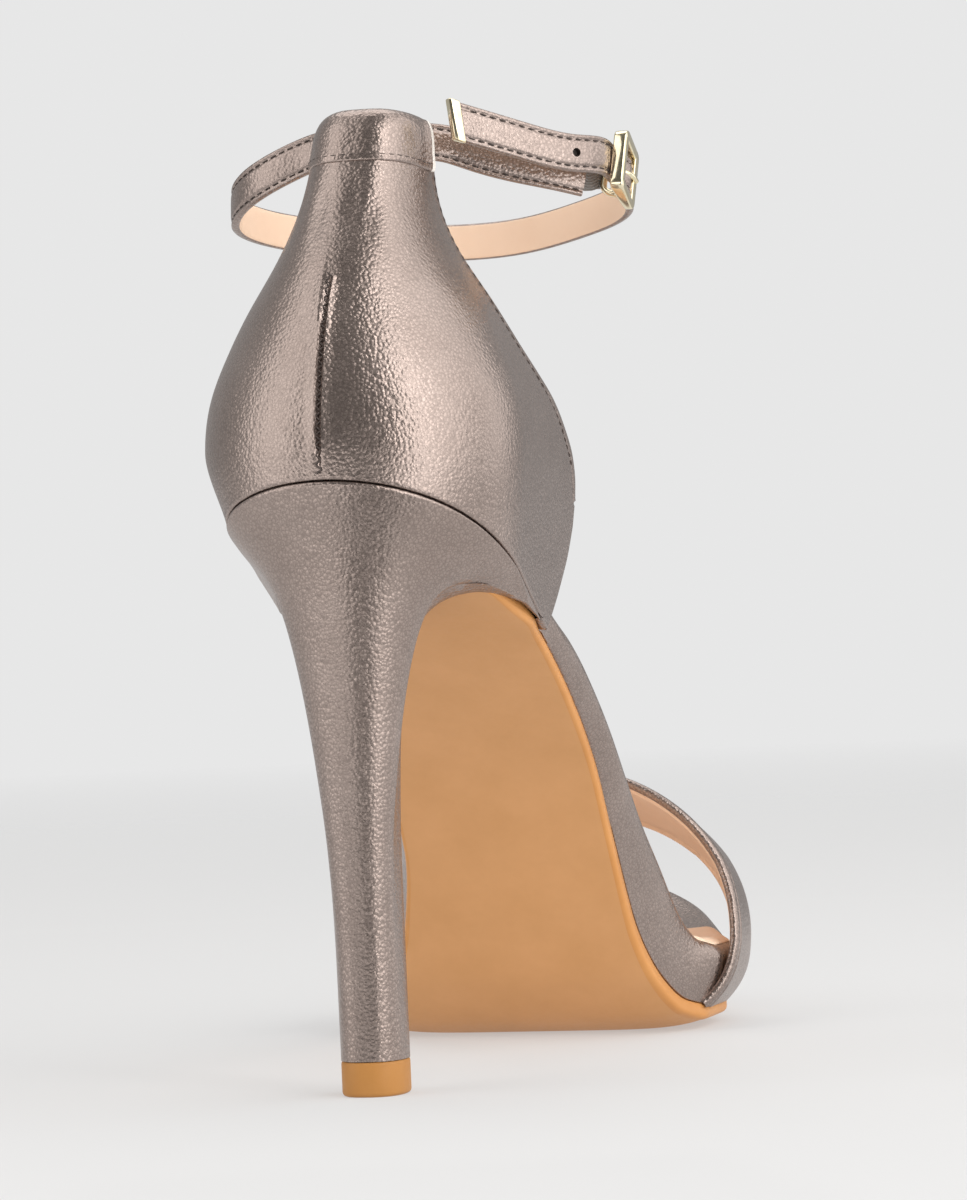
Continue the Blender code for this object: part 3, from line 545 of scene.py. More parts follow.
def rim_point(angle):
    """Point where the counter's outer face meets the slope of the seat."""
    z = SEAT_HEIGHT
    for _ in range(30):
        z = 0.5 * z + 0.5 * seat_z(counter_point(angle, z)[1])
    return counter_point(angle, z)


def toe_round(share, bow):
    """Width left at a share of the toe's length, falling from 1 to 0 at its tip."""
    return max(1.0 - share, 0.0) ** TOE_POWER * (1.0 + bow * share)


def toe_stops(first, last, count):
    """Places along the toe that draw together toward its tip."""
    return TOE_START + (TOE_TIP - TOE_START) * np.sin(np.linspace(first, last, count) * 0.5 * math.pi)


def half_widths(y, level):
    """Outer and inner half widths of the sole at y, level 0 at the outsole and 1 at the footbed."""
    reaches = []
    for side in ("out", "in"):
        low = SOLE["edge_" + side](y)
        reaches.append(low + level * (SOLE["top_" + side](y) - low))
    if y < WING_Y + WING_RUN:
        z = seat_z(y) + FOOTBED_RISE * level
        reaches = blend_reaches(y, z, SEAT_INSET, ease(y, *WING_BLEND), reaches)
    tuck = CORNER_TUCK * (1.0 - ease(y, *CORNER_BLEND)) * level
    outer, inner = (reach - tuck for reach in reaches)
    if y > TOE_START:
        share = (y - TOE_START) / (TOE_TIP - TOE_START)
        draw = TOE_DRAW * (1.0 - level)
        outer = TOE_SHIFT + (SOLE["top_out"](TOE_START) - draw - TOE_SHIFT) * toe_round(share, TOE_BOW[0])
        inner = (SOLE["top_in"](TOE_START) - draw + TOE_SHIFT) * toe_round(share, TOE_BOW[1]) - TOE_SHIFT
    return outer, inner


# Mesh tools

def add_object(name, data):
    item = bpy.data.objects.new(name, data)
    bpy.context.scene.collection.objects.link(item)
    return item


def add_piece(name, mesh, node):
    """A piece riding on the one body, which may stand for a CAD node."""
    item = add_object(name, mesh)
    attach(item, "root")
    if node:
        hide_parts(node)
    return item


EDGE_STEPS = 5


def shell_caps(count, ring, base):
    """Faces that close the end of a shell: a strip between its two faces and a piece at each round edge."""
    inner = [base + 2 * count + EDGE_STEPS - 1 - j for j in range(count)]
    faces = [(base + j, base + j + 1, inner[j + 1], inner[j]) for j in range(count - 1)]
    faces.append((base + count - 1, *range(base + count, base + count + EDGE_STEPS), inner[-1]))
    faces.append((inner[0], *range(base + 2 * count + EDGE_STEPS, base + ring), base))
    return faces


def ring_mesh(name, rings, materials, index=None, loop=False, shell=0, cap=0, cap_rows=(0, 0), sharp=50.0):
    """Smooth closed mesh through rings of equal counts.

    index gives each segment of a ring its material, cap that of the ends and of the first and last cap_rows.
    shell is the count of points on one face of a shell, whose ends are then closed by strips. Edges past
    the angle sharp stay crisp.
    """
    rings = np.asarray(rings, float) * MM
    rows, count = rings.shape[:2]
    verts = rings.reshape(-1, 3)
    faces = []
    slots = []
    for i in range(rows if loop else rows - 1):
        a = i * count
        b = (i + 1) % rows * count
        for j in range(count):
            k = (j + 1) % count
            faces.append((a + j, a + k, b + k, b + j))
            own = index[j] if index is not None else 0
            slots.append(own if cap_rows[0] <= i < rows - 1 - cap_rows[1] else cap)
    if not loop:
        for base in (0, (rows - 1) * count):
            ends = shell_caps(shell, count, base) if shell else [tuple(range(base, base + count))]
            faces += ends
            slots += [cap] * len(ends)
    mesh = bpy.data.meshes.new(name)
    mesh.from_pydata(verts.tolist(), [], faces)
    for material in materials:
        mesh.materials.append(material)
    mesh.polygons.foreach_set("material_index", slots)
    tidy = bmesh.new()
    tidy.from_mesh(mesh)
    bmesh.ops.recalc_face_normals(tidy, faces=tidy.faces)
    tidy.to_mesh(mesh)
    tidy.free()
    mesh.shade_smooth()
    mesh.set_sharp_from_angle(angle=math.radians(sharp))
    return mesh


def grid_normals(grid):
    """Unit normals of a grid of points, from its own rows and columns."""
    return unit(np.cross(np.gradient(grid, axis=0), np.gradient(grid, axis=1)))


def edge_way(line, inside, normal):
    """Directions that leave a shell's edge line squarely, in the plane of its face."""
    way = np.cross(np.gradient(line, axis=0), normal)
    middle = len(line) // 2
    way *= np.sign(np.dot(way[middle], line[middle] - inside[middle]))
    return unit(way)


def shell_rings(grid, normal, wall, first=1.0):
    """Closed rings, one per row of the grid: outer face, round edge, inner face, round edge.

    first says how far the edge at the first column stands out, as a share of half the wall, for all rows
    or for each. Also gives which segments of a ring are the inner face.
    """
    half = 0.5 * wall
    turns = np.linspace(0.0, math.pi, EDGE_STEPS + 2)[1:-1]

    def edge(column, beside, facing, share):
        out = normal[:, column]
        way = edge_way(grid[:, column], grid[:, beside], out)
        middle = grid[:, column] - half * out
        steps = [facing * math.cos(t) * out + share * math.sin(t) * way for t in turns]
        return np.stack([middle + half * step for step in steps], axis=1)

    inner_face = (grid - wall * normal)[:, ::-1]
    rings = np.concatenate([grid, edge(-1, -2, 1.0, 1.0), inner_face, edge(0, 1, -1.0, first)], axis=1)
    count = grid.shape[1]
    index = np.zeros(rings.shape[1], int)
    index[count + EDGE_STEPS:2 * count + EDGE_STEPS - 1] = 1
    return rings, index.tolist()


END_TURNS = (22.0, 44.0, 64.0, 82.0)


def round_ends(rings, grid, normal, wall):
    """The rings of a shell with more added at both ends, so that its round edge runs on round these."""
    half = 0.5 * wall

    def spread(values):
        last, first = (np.repeat(values[[k]], EDGE_STEPS, 0) for k in (-1, 0))
        return np.concatenate([values, last, values[::-1], first])

    def half_round(row, before):
        away = spread(edge_way(grid[row], grid[before], normal[row]))
        out = spread(normal[row])
        middle = spread(grid[row] - half * normal[row])
        level = np.clip(np.sum((rings[row] - middle) * out, axis=1, keepdims=True) / half, -1.0, 1.0)
        made = []
        for turn in np.radians(END_TURNS):
            high = level * math.cos(turn)
            made.append(middle + half * (high * out + np.sqrt(1.0 - high * high) * away))
        return made

    return np.concatenate([half_round(0, 1)[::-1], rings, half_round(-1, -2)])


def distance_to(grid, line):
    """Distance of every point of a grid from a line of points."""
    tree = KDTree(len(line))
    for i, point in enumerate(line):
        tree.insert(point, i)
    tree.balance()
    flat = grid.reshape(-1, 3)
    return np.array([tree.find(point)[2] for point in flat]).reshape(grid.shape[:2])


def dense(line, step=0.25):
    """The same line with a point at every step."""
    length = lengths(line)
    return at_length(np.arange(0.0, length[-1], step), length, line)


def bump(distance, width):
    return np.exp(-(distance / width) ** 2)


THREAD_SIDES = 6
THREAD_SHAPE = ((0.0, 0.35, -0.5), (0.12, 0.85, -0.1), (0.5, 1.0, 0.3), (0.88, 0.85, -0.1), (1.0, 0.35, -0.5))


def add_stitches(name, stitches, radius):
    """One piece of small rounded stitches, each from its ends and the surface's outward direction."""
    verts = []
    faces = []
    for first, last, out in stitches:
        along = last - first
        side = unit(np.cross(along, out))
        base = len(verts)
        for share, girth, lift in THREAD_SHAPE:
            middle = first + share * along + lift * radius * out
            for k in range(THREAD_SIDES):
                turn = 2.0 * math.pi * k / THREAD_SIDES
                spoke = math.cos(turn) * side + math.sin(turn) * out
                verts.append((middle + radius * girth * spoke) * MM)
        for a in range(base, len(verts) - THREAD_SIDES, THREAD_SIDES):
            b = a + THREAD_SIDES
            for k in range(THREAD_SIDES):
                j = (k + 1) % THREAD_SIDES
                faces.append((a + k, a + j, b + j, b + k))
        faces.append(tuple(range(base + THREAD_SIDES - 1, base - 1, -1)))
        faces.append(tuple(range(len(verts) - THREAD_SIDES, len(verts))))
    mesh = bpy.data.meshes.new(name)
    mesh.from_pydata([tuple(v) for v in verts], [], faces)
    mesh.materials.append(dark_thread)
    mesh.shade_smooth()
    add_piece(name, mesh, None)


def running_stitches(line, out, pitch=STITCH_PITCH):
    """Stitches end to end along a line, with the outward direction at each of its points."""
    reach = lengths(line)
    made = []
    for start in np.arange(0.4 * pitch, reach[-1] - STITCH_LENGTH, pitch):
        first, last = at_length((start, start + STITCH_LENGTH), reach, line)
        made.append((first, last, unit(at_length(start + 0.5 * STITCH_LENGTH, reach, out))))
    return made


# Materials

class Look:
    """The nodes of a material or of the world, with short ways to add to them."""

    def __init__(self, owner, end, values):
        owner.use_nodes = True
        self.owner = owner
        self.tree = owner.node_tree
        self.end = self.tree.nodes[end]
        self.give(self.end, values)

    def give(self, node, values):
        """Link the inputs of a node that get an output, and set the others."""
        for key, value in values.items():
            if isinstance(value, bpy.types.NodeSocket):
                self.tree.links.new(value, node.inputs[key])
            else:
                node.inputs[key].default_value = value

    def add(self, kind, values, **settings):
        """Outputs of a new node with these settings and inputs."""
        node = self.tree.nodes.new(kind)
        for key, value in settings.items():
            setattr(node, key, value)
        self.give(node, values)
        return node.outputs

    def place(self):
        """The shoe's own coordinates."""
        return self.add("ShaderNodeTexCoord", {})["Object"]

    def noise(self, scale, detail, roughness=0.5):
        values = {"Scale": scale, "Detail": detail, "Roughness": roughness, "Vector": self.place()}
        return self.add("ShaderNodeTexNoise", values)

    def ramp(self, source, stops):
        node = self.tree.nodes.new("ShaderNodeValToRGB")
        while len(node.color_ramp.elements) < len(stops):
            node.color_ramp.elements.new(0.5)
        for element, (place, color) in zip(node.color_ramp.elements, stops):
            element.position = place
            element.color = (*color, 1.0)
        self.give(node, {"Fac": source})
        return node.outputs["Color"]

    def remap(self, source, low, high, first, last):
        values = {"Value": source, "From Min": first, "From Max": last, "To Min": low, "To Max": high}
        return self.add("ShaderNodeMapRange", values)["Result"]

    def relief(self, height, strength, depth, under=None, invert=False):
        """Bump in metres, over another bump if one is given."""
        values = {"Height": height, "Strength": strength, "Distance": depth}
        if under is not None:
            values["Normal"] = under
        return self.add("ShaderNodeBump", values, invert=invert)["Normal"]


def new_look(name, values):
    return Look(bpy.data.materials.new(name), "Principled BSDF", values)


GRAIN_SCALE = 1500.0
PEWTER = ((0.25, (0.36, 0.287, 0.255)), (0.55, (0.395, 0.318, 0.284)), (0.8, (0.43, 0.348, 0.312)))
GOLD = ((0.3, (0.80, 0.70, 0.47)), (0.7, (0.90, 0.82, 0.60)))


def metallic_leather():
    """Pewter-rose foil leather with a fine pebbled grain, and painted shade darkening the grain's creases."""
    look = new_look("metallic_leather", {
        "Metallic": 0.92, "Specular IOR Level": 0.5, "Coat Weight": 0.15, "Coat Roughness": 0.3,
    })
    warp = look.noise(900.0, 2.0)["Color"]
    spread = look.add("ShaderNodeVectorMath", {0: warp, "Scale": 0.0006}, operation="SCALE")["Vector"]
    moved = look.add("ShaderNodeVectorMath", {0: look.place(), 1: spread})["Vector"]
    cells = {"Scale": GRAIN_SCALE, "Randomness": 1.0, "Vector": moved}
    crease = look.add("ShaderNodeTexVoronoi", cells, feature="DISTANCE_TO_EDGE")["Distance"]
    cells["Smoothness"] = 0.35
    pebble = look.add("ShaderNodeTexVoronoi", cells, feature="SMOOTH_F1")["Distance"]
    # Painted shade: the tone is multiplied down to 0.72 along the crease lines between the pebbles.
    mix = {
        "Factor": 1.0,
        "A": look.ramp(look.noise(90.0, 4.0, 0.6)["Fac"], PEWTER),
        "B": look.remap(crease, 0.72, 1.0, 0.0, 0.22),
    }
    pore = look.noise(2600.0, 3.0, 0.6)["Fac"]
    soft = look.relief(look.noise(420.0, 2.0)["Fac"], 0.3, 0.00005)
    grain = look.relief(pebble, 0.58, 0.00016, under=soft, invert=True)
    look.give(look.end, {
        "Base Color": look.add("ShaderNodeMix", mix, data_type="RGBA", blend_type="MULTIPLY")["Result"],
        "Roughness": look.remap(pore, 0.25, 0.36, 0.3, 0.7),
        "Normal": look.relief(pore, 0.2, 0.00004, under=grain),
    })
    return look.owner


def plain_leather(name, colors, roughness, grain, depth):
    """Smooth leather with faint mottling and pores."""
    look = new_look(name, {"Specular IOR Level": 0.35})
    cloud = look.noise(70.0, 6.0, 0.65)["Fac"]
    pore = look.noise(grain, 4.0, 0.6)["Fac"]
    look.give(look.end, {
        "Base Color": look.ramp(cloud, ((0.3, colors[0]), (0.7, colors[1]))),
        "Roughness": look.remap(pore, roughness - 0.06, roughness + 0.06, 0.3, 0.7),
        "Normal": look.relief(pore, 0.4, depth),
    })
    return look.owner


def polished_gold():
    look = new_look("pale_gold", {"Metallic": 1.0})
    look.give(look.end, {
        "Base Color": look.ramp(look.noise(500.0, 3.0)["Fac"], GOLD),
        "Roughness": look.remap(look.noise(1800.0, 2.0)["Fac"], 0.07, 0.15, 0.3, 0.7),
    })
    return look.owner


# Matte dark material: the stitches' own thread colour, and also the painted shade inside the strap's hole.
def thread_and_hole_shade_material(name, color):
    look = new_look(name, {"Roughness": 0.6})
    dark = tuple(0.6 * c for c in color)
    tone = look.ramp(look.noise(3000.0, 1.0)["Fac"], ((0.35, dark), (0.65, color)))
    look.give(look.end, {"Base Color": tone})
    return look.owner


leather = metallic_leather()
lining = plain_leather("sock_leather", ((0.90, 0.675, 0.505), (0.95, 0.735, 0.565)), 0.55, 1500.0, 0.00005)
tan = plain_leather("sole_leather", ((0.65, 0.33, 0.13), (0.71, 0.366, 0.154)), 0.48, 1100.0, 0.00004)
tan_edge = plain_leather("sole_edge", ((0.62, 0.275, 0.08), (0.70, 0.33, 0.105)), 0.42, 900.0, 0.00004)
rubber = plain_leather("top_piece_rubber", ((0.46, 0.205, 0.05), (0.52, 0.24, 0.065)), 0.5, 1300.0, 0.00004)
elastic = plain_leather("grey_elastic", ((0.22, 0.20, 0.19), (0.34, 0.32, 0.30)), 0.8, 2400.0, 0.00012)
gold = polished_gold()
cut_edge = plain_leather("cut_edge", ((0.80, 0.76, 0.71), (0.88, 0.84, 0.79)), 0.6, 1800.0, 0.00004)
dark_thread = thread_and_hole_shade_material("dark_thread", (0.085, 0.064, 0.056))
# Near-black painted shade for the walls of the strap's hole, which stand in shadow.
painted_hole_shade = thread_and_hole_shade_material("painted_hole_shade", (0.05, 0.035, 0.028))


# Sole, heel and top piece

def crown(y):
    """Rise of the sole's edges over the middle of its underside."""
    return SOLE_CROWN * ease(y, *CROWN_BLEND)


def toe_outline(level):
    """Plan of the toe's edge at a level, as a dense line of points."""
    line = []
    for y in np.concatenate([np.linspace(TOE_START - 8.0, TOE_START, 40), toe_stops(0.01, 1.0, 400)]):
        outer, inner = half_widths(y, level)
        line += [(outer, y), (-inner, y)]
    return np.array(line)


def round_rim(points, outline, y, reach, high, level=None):
    """A section's points moved by a rounded rim inside an outline, from a level or from their own heights."""
    made = []
    for x, h in points:
        away = float(np.min(np.hypot(outline[:, 0] - x, outline[:, 1] - y)))
        share = max(1.0 - away / reach, 0.0)
        start = h if level is None else level
        made.append((x, start + high * (1.0 - math.sqrt(1.0 - share * share))))
    return made


def platform_ring(y, outline):
    """Section of the platform: outer side, bed, inner side and underside."""
    thick = SOLE["platform"](y)
    out_low, in_low = half_widths(y, 0.0)
    out_top, in_top = half_widths(y, 1.0)
    bulge = SIDE_BULGE * clip(y, *BULGE_BLEND)
    half, middle = 0.5 * (out_top + in_top), 0.5 * (out_top - in_top)
    low_half, low_middle = 0.5 * (out_low + in_low), 0.5 * (out_low - in_low)
    cup = CUP * min(1.0, half / CUP_HALF)
    round_high = min(RIM_HIGH, 0.35 * thick)
    round_in = min(RIM_IN, 0.25 * half)
    side = []
    for share in np.linspace(0.0, 1.0, 9):
        rise = crown(y) + share * (thick - round_high - crown(y))
        side.append((share, bulge * math.sin(math.pi * share) ** 0.8, rise))
    arc = [(math.sin(t), math.cos(t)) for t in np.linspace(0.0, 0.5 * math.pi, 7)[1:]]
    at_toe = y > TOE_START

    def edge(sign, low, top):
        points = [(sign * (low + s * (top - low) + b), h) for s, b, h in side]
        rim = [(sign * (top - round_in * (1.0 - c)), thick - round_high * (1.0 - s)) for s, c in arc]
        if at_toe:
            rim = round_rim(rim, outline, y, RIM_IN, -round_high, thick)
        return points + rim

    flat = half - round_in
    bed = [(middle + s * flat, thick - cup * (1.0 - s * s)) for s in np.linspace(1.0, -1.0, 25)[1:-1]]
    if at_toe:
        bed = round_rim(bed, outline, y, RIM_IN, -round_high)
    under = [(low_middle + s * low_half, crown(y) * s ** 6) for s in np.linspace(-1.0, 1.0, 25)[1:-1]]
    ring = edge(1.0, out_low, out_top) + bed + edge(-1.0, in_low, in_top)[::-1] + under
    return [sole_point(y, x, h) for x, h in ring]


def build_platform():
    outline = toe_outline(1.0)
    stops = np.concatenate([
        PLATFORM_REAR, np.linspace(PLATFORM_SEAT, WING_Y + 1.0, 34),
        np.linspace(WING_Y + 1.6, TOE_START, 120), toe_stops(0.02, 0.995, 36),
    ])
    mesh = ring_mesh("platform", [platform_ring(y, outline) for y in stops], [leather])
    add_piece("platform_wrap", mesh, "platform")


def breast_y(share):
    return BREAST_Y + BREAST_RUN * abs(share) ** BREAST_POWER


def outsole_half(y):
    """Outer and inner half widths of the outsole, whose rear tongue lies between the heel's wings."""
    if y >= WING_Y + 4.0:
        return half_widths(y, 0.0)
    inset = TONGUE_IN + TONGUE_MORE * ease(y, *TONGUE_BLEND)
    breast = clip(y, BREAST_Y - TONGUE_BACK, BREAST_RUN) ** (1.0 / BREAST_POWER)
    reaches = []
    for side, full in zip((1.0, -1.0), half_widths(WING_Y + 4.6, 0.0)):
        reach = (counter_half(WING_Y, seat_z(WING_Y), side) - inset) * breast
        reaches.append(reach + clip(y, *TONGUE_OUT) * (full - reach))
    return reaches


def outsole_ring(y, outline):
    """Section of the outsole: outer edge, underside, inner edge and top."""
    thick = SOLE["outsole"](y) + TONGUE_LIP * ease(y, *LIP_BLEND)
    outer, inner = outsole_half(y)
    most = 0.3 * (outer + inner)
    up = crown(y)
    low = -GAP - thick
    bevel = min(WAIST_BEVEL + (SOLE_BEVEL - WAIST_BEVEL) * ease(y, *BEVEL_BLEND), most)
    rise = min(BEVEL_HIGH, 0.5 * thick)
    back = min(OUTSOLE_BACK, most)
    side = [(-back, up - OUTSOLE_SUNK), (0.0, up - OUTSOLE_SHOULDER), (0.0, low + up + rise)]
    turned = [(-bevel * (1.0 - math.cos(t)), low + up + rise * (1.0 - math.sin(t))) for t in BEVEL_TURNS]
    left, right = -inner + bevel, outer - bevel
    half, middle = 0.5 * (right - left), 0.5 * (right + left)
    shares = np.linspace(1.0, -1.0, OUTSOLE_ACROSS)[1:-1]
    under = [(middle + s * half, low + up * abs(s) ** 6) for s in shares]
    top = [(middle - s * half, up * abs(s) ** 6 - OUTSOLE_SUNK) for s in shares]
    at_toe = y > TOE_START

    def edge(sign, reach):
        rim = [(sign * (reach + x), h) for x, h in turned]
        if at_toe:
            rim = round_rim(rim, outline, y, SOLE_BEVEL, rise, low + up)
        return [(sign * (reach + x), h) for x, h in side] + rim

    if at_toe:
        under = round_rim(under, outline, y, SOLE_BEVEL, rise)
    return [sole_point(y, x, h) for x, h in edge(1.0, outer) + under + edge(-1.0, inner)[::-1] + top]


def build_outsole():
    outline = toe_outline(0.0)
    rear = OUTSOLE_REAR + OUTSOLE_TONGUE * np.linspace(0.0, 1.0, 36) ** 2.2
    stops = np.concatenate([rear, np.linspace(OUTSOLE_WAIST, TOE_START, 120), toe_stops(0.02, 0.995, 40)])
    half_index = [1] * (len(BEVEL_TURNS) + 2) + [0] * (OUTSOLE_ACROSS - 1)
    mesh = ring_mesh("outsole", [outsole_ring(y, outline) for y in stops], [tan, tan_edge], 2 * half_index)
    add_piece("outsole_leather", mesh, "outsole")


def sock_reach(y, height):
    """Outer and inner reach of the sock: to the counter's lining on the seat, inset from the edge ahead."""
    _, along, z = sole_point(y, 0.0, height)
    reaches = [reach - SOCK_INSET for reach in half_widths(y, 1.0)]
    ahead = ease(along, *SOCK_BLEND)
    if ahead < 1.0:
        reaches = blend_reaches(along, z, UPPER_WALL + SOCK_CLEAR, ahead, reaches)
    return reaches


def sock_ring(y):
    """Section of the sock: its face with soft edges, then its underside."""
    thick = SOLE["platform"](y)
    outer, inner = sock_reach(y, thick + SOCK_GAP + SOCK_THICK)
    half, middle = 0.5 * (outer + inner), 0.5 * (outer - inner)
    cup = CUP * min(1.0, half / CUP_HALF)
    ring = []
    for share in np.sin(np.linspace(0.5 * math.pi, -0.5 * math.pi, 41)):
        soft = SOCK_FALL * max(0.0, (abs(share) - SOCK_SOFT) / (1.0 - SOCK_SOFT)) ** 2
        bed = thick - SOCK_SUNK - cup * (1.0 - share * share)
        ring.append((middle + share * half, bed + SOCK_GAP + SOCK_THICK - soft))
    for share in np.linspace(-1.0, 1.0, 9):
        ring.append((middle + share * half, thick - cup * (1.0 - share * share)))
    return [sole_point(y, x, h) for x, h in ring]


def build_sock():
    height = SOLE["platform"](SOCK_REAR) + SOCK_GAP + SOCK_THICK
    rear = SOCK_REAR
    while sock_reach(rear, height)[0] < SOCK_REAR_HALF:
        rear += 0.05
    stops = np.concatenate([
        rear + np.array([0.0, 0.12, 0.3, 0.6, 1.0, 1.6, 2.4, 3.4]), np.linspace(rear + 4.6, 44.0, 40),
        np.linspace(45.5, SOCK_END, 88),
    ])
    mesh = ring_mesh("sock", [sock_ring(y) for y in stops], [lining])
    add_piece("sock_leather", mesh, "sock_lining")


def tip_outline(count_back, count_front):
    """Section of the heel at the top piece, from the outer front corner round the back."""
    ring = []
    for turn in np.linspace(-0.5 * math.pi, 0.5 * math.pi, count_back):
        x = -math.copysign(abs(math.sin(turn)) ** 0.8, turn) * TIP_HALF_WIDTH
        ring.append((x, TIP_MIDDLE + (TIP_BACK - TIP_MIDDLE) * abs(math.cos(turn)) ** 0.9))
    for share in np.linspace(-1.0, 1.0, count_front + 2)[1:-1]:
        x = TIP_HALF_WIDTH * math.copysign(abs(share) ** 0.8, share)
        ring.append((x, TIP_MIDDLE + (TIP_FRONT - TIP_MIDDLE) * (1.0 - abs(share) ** 4.0) ** 0.5))
    return ring


def inset_ring(ring, amount):
    """A level outline drawn in by an amount."""
    along = np.roll(ring, -1, axis=0) - np.roll(ring, 1, axis=0)
    inward = unit(np.stack([along[:, 1], -along[:, 0]], axis=1))
    area = np.sum(ring[:, 0] * np.roll(ring[:, 1], -1) - np.roll(ring[:, 0], -1) * ring[:, 1])
    return ring + amount * (-inward if area > 0.0 else inward)


def heel_outline():
    """Upper outline of the heel: round the counter's foot from wing to wing, then along the front."""
    wing_angle = counter_angle(WING_Y, seat_z(WING_Y))
    upper = [rim_point(turn)[:2] for turn in np.linspace(wing_angle, -wing_angle, HEEL_BACK)]
    wing_out = upper[0][0] - WING_IN
    wing_in = -upper[-1][0] - WING_IN
    for share in np.linspace(-1.0, 1.0, HEEL_FRONT + 2)[1:-1]:
        upper.append(np.array([share * (wing_out if share > 0.0 else wing_in), breast_y(share)]))
    return upper


def heel_ring(share, foot, upper):
    """Outline of the heel at a share of its height, between that of its foot and its upper one."""
    flare = {name: HEEL[name](share) for name in HEEL_COLUMNS}
    ring = []
    for i, ((fx, fy), top) in enumerate(zip(foot, upper)):
        wing = (max(0.0, top[1] - WING_START) / WING_Y) ** WING_POWER
        level = share * (1.0 + wing * (1.0 / WING_FLOOR - 1.0))
        side = HEEL["side"](level) ** (1.0 + WING_OUT * wing)
        forward = flare["side"] ** (1.0 + WING_LATE * wing)
        if i < HEEL_BACK:
            back = max(0.0, math.cos(math.pi * (i / (HEEL_BACK - 1) - 0.5))) ** 2
            grow = side + back * (flare["back"] - side)
            ahead = grow + ease(top[1], *HEEL_SIDE_BLEND) * (forward - grow)
        else:
            middle = 1.0 - abs(2.0 * (i - HEEL_BACK + 1) / (HEEL_FRONT + 1) - 1.0)
            grow = side
            ahead = forward + middle * (flare["front"] - forward)
        x = fx + grow * (top[0] - fx)
        y = fy + ahead * (top[1] - fy)
        ring.append((x, y, HEEL_FOOT + share * (seat_z(y) - HEEL_GAP - HEEL_FOOT)))
    return ring


def build_heel():
    """Heel from its foot up, with a rolled rim at the back and on the wings."""
    foot = tip_outline(HEEL_BACK, HEEL_FRONT)
    upper = heel_outline()
    shares = np.concatenate([np.linspace(0.0, 0.9, 60), np.linspace(0.905, 1.0 - HEEL_ROLL_SHARE, 44)])
    rings = [heel_ring(share, foot, upper) for share in shares]
    rim = np.array(rings[-1])
    from_wing = 1.0 - np.abs(np.linspace(-1.0, 1.0, HEEL_FRONT + 2)[1:-1])
    rolled = np.concatenate([np.ones(HEEL_BACK), np.clip(1.0 - WING_ROLL * from_wing, 0.0, 1.0)])
    for turn in np.radians(HEEL_ROLL_TURNS):
        level = inset_ring(rim[:, :2], HEEL_ROLL * (1.0 - math.cos(turn)))
        level = rim[:, :2] + rolled[:, None] * (level - rim[:, :2])
        rings.append(np.column_stack([level, rim[:, 2] + rolled * HEEL_ROLL * math.sin(turn)]))
    mesh = ring_mesh("heel", rings, [leather], sharp=86.0)
    add_piece("heel_cover", mesh, "heel")


def build_top_piece():
    outline = np.array(tip_outline(61, 41))
    rings = []
    for z, inset in TOP_PIECE_LEVELS:
        rings.append(np.column_stack([inset_ring(outline, inset), np.full(len(outline), z)]))
    mesh = ring_mesh("top_piece", rings, [rubber])
    add_piece("top_piece_block", mesh, "top_piece")


# Counter and its sleeve

def counter_bounds(share):
    """Foot and top of the counter's column, as (angle, z), for a share from the back to the nose."""

    def on_topline(start, part):
        z = start + part * (TOPLINE_NOSE - start)
        return counter_angle(EDGE(z), z), z

    if share <= FOOT_SHARE:
        angle = counter_angle(WING_Y, seat_z(WING_Y)) * share / FOOT_SHARE
        foot = (angle, rim_point(angle)[2])
    else:
        foot = on_topline(TOPLINE[0][0], (share - FOOT_SHARE) / (1.0 - FOOT_SHARE))
    if share <= TOP_SHARE:
        top = (counter_angle(EDGE(COUNTER_TOP), COUNTER_TOP) * share / TOP_SHARE, COUNTER_TOP)
    else:
        top = on_topline(COUNTER_TOP, (share - TOP_SHARE) / (1.0 - TOP_SHARE))
    return foot, top


def below(height, level, soft):
    """Soft step from 1 below a level to 0 above it."""
    return 1.0 / (1.0 + np.exp((height - level) / soft))


def counter_relief(grid, turn, shares):
    """Rise of the counter's face: keel and folds of the back seam, drawn-in foot, stitch line and creases."""
    across = np.abs(grid[:, :, 0])
    height = grid[:, :, 2]
    from_foot = np.clip((height - height[:, :1]) / SEAM_FADE, 0.0, 1.0)
    lift = KEEL * np.exp(-turn / KEEL_TURN) * below(height, KEEL_TOP, KEEL_SOFT)
    folds = SEAM_RIDGE * bump(across - FOLD_OUT, FOLD_WIDE) - SEAM_GROOVE * bump(across, GROOVE_WIDE)
    lift += below(height, SEAM_TOP, SEAM_SOFT) * folds
    lift *= from_foot * (2.0 - from_foot)
    foot_line = grid[np.abs(shares) <= FOOT_SHARE, 0]
    at_back = np.array([[clip(abs(share), *FOOT_BACK)] for share in shares])
    lift -= FOOT_IN * at_back * bump(distance_to(grid, dense(foot_line)), FOOT_REACH)
    from_edge = distance_to(grid, dense(grid[:, -1]))
    lift -= STITCH_DENT * bump(from_edge - TOPLINE_STITCH_IN, STITCH_DENT_WIDE)
    behind = grid[:, :, 1] < CREASE_FRONT
    for place, tall, deep, wide in CREASES:
        lift -= deep * bump(grid[:, :, 0] - place, wide) * bump(height - tall, CREASE_TALL) * behind
    return lift


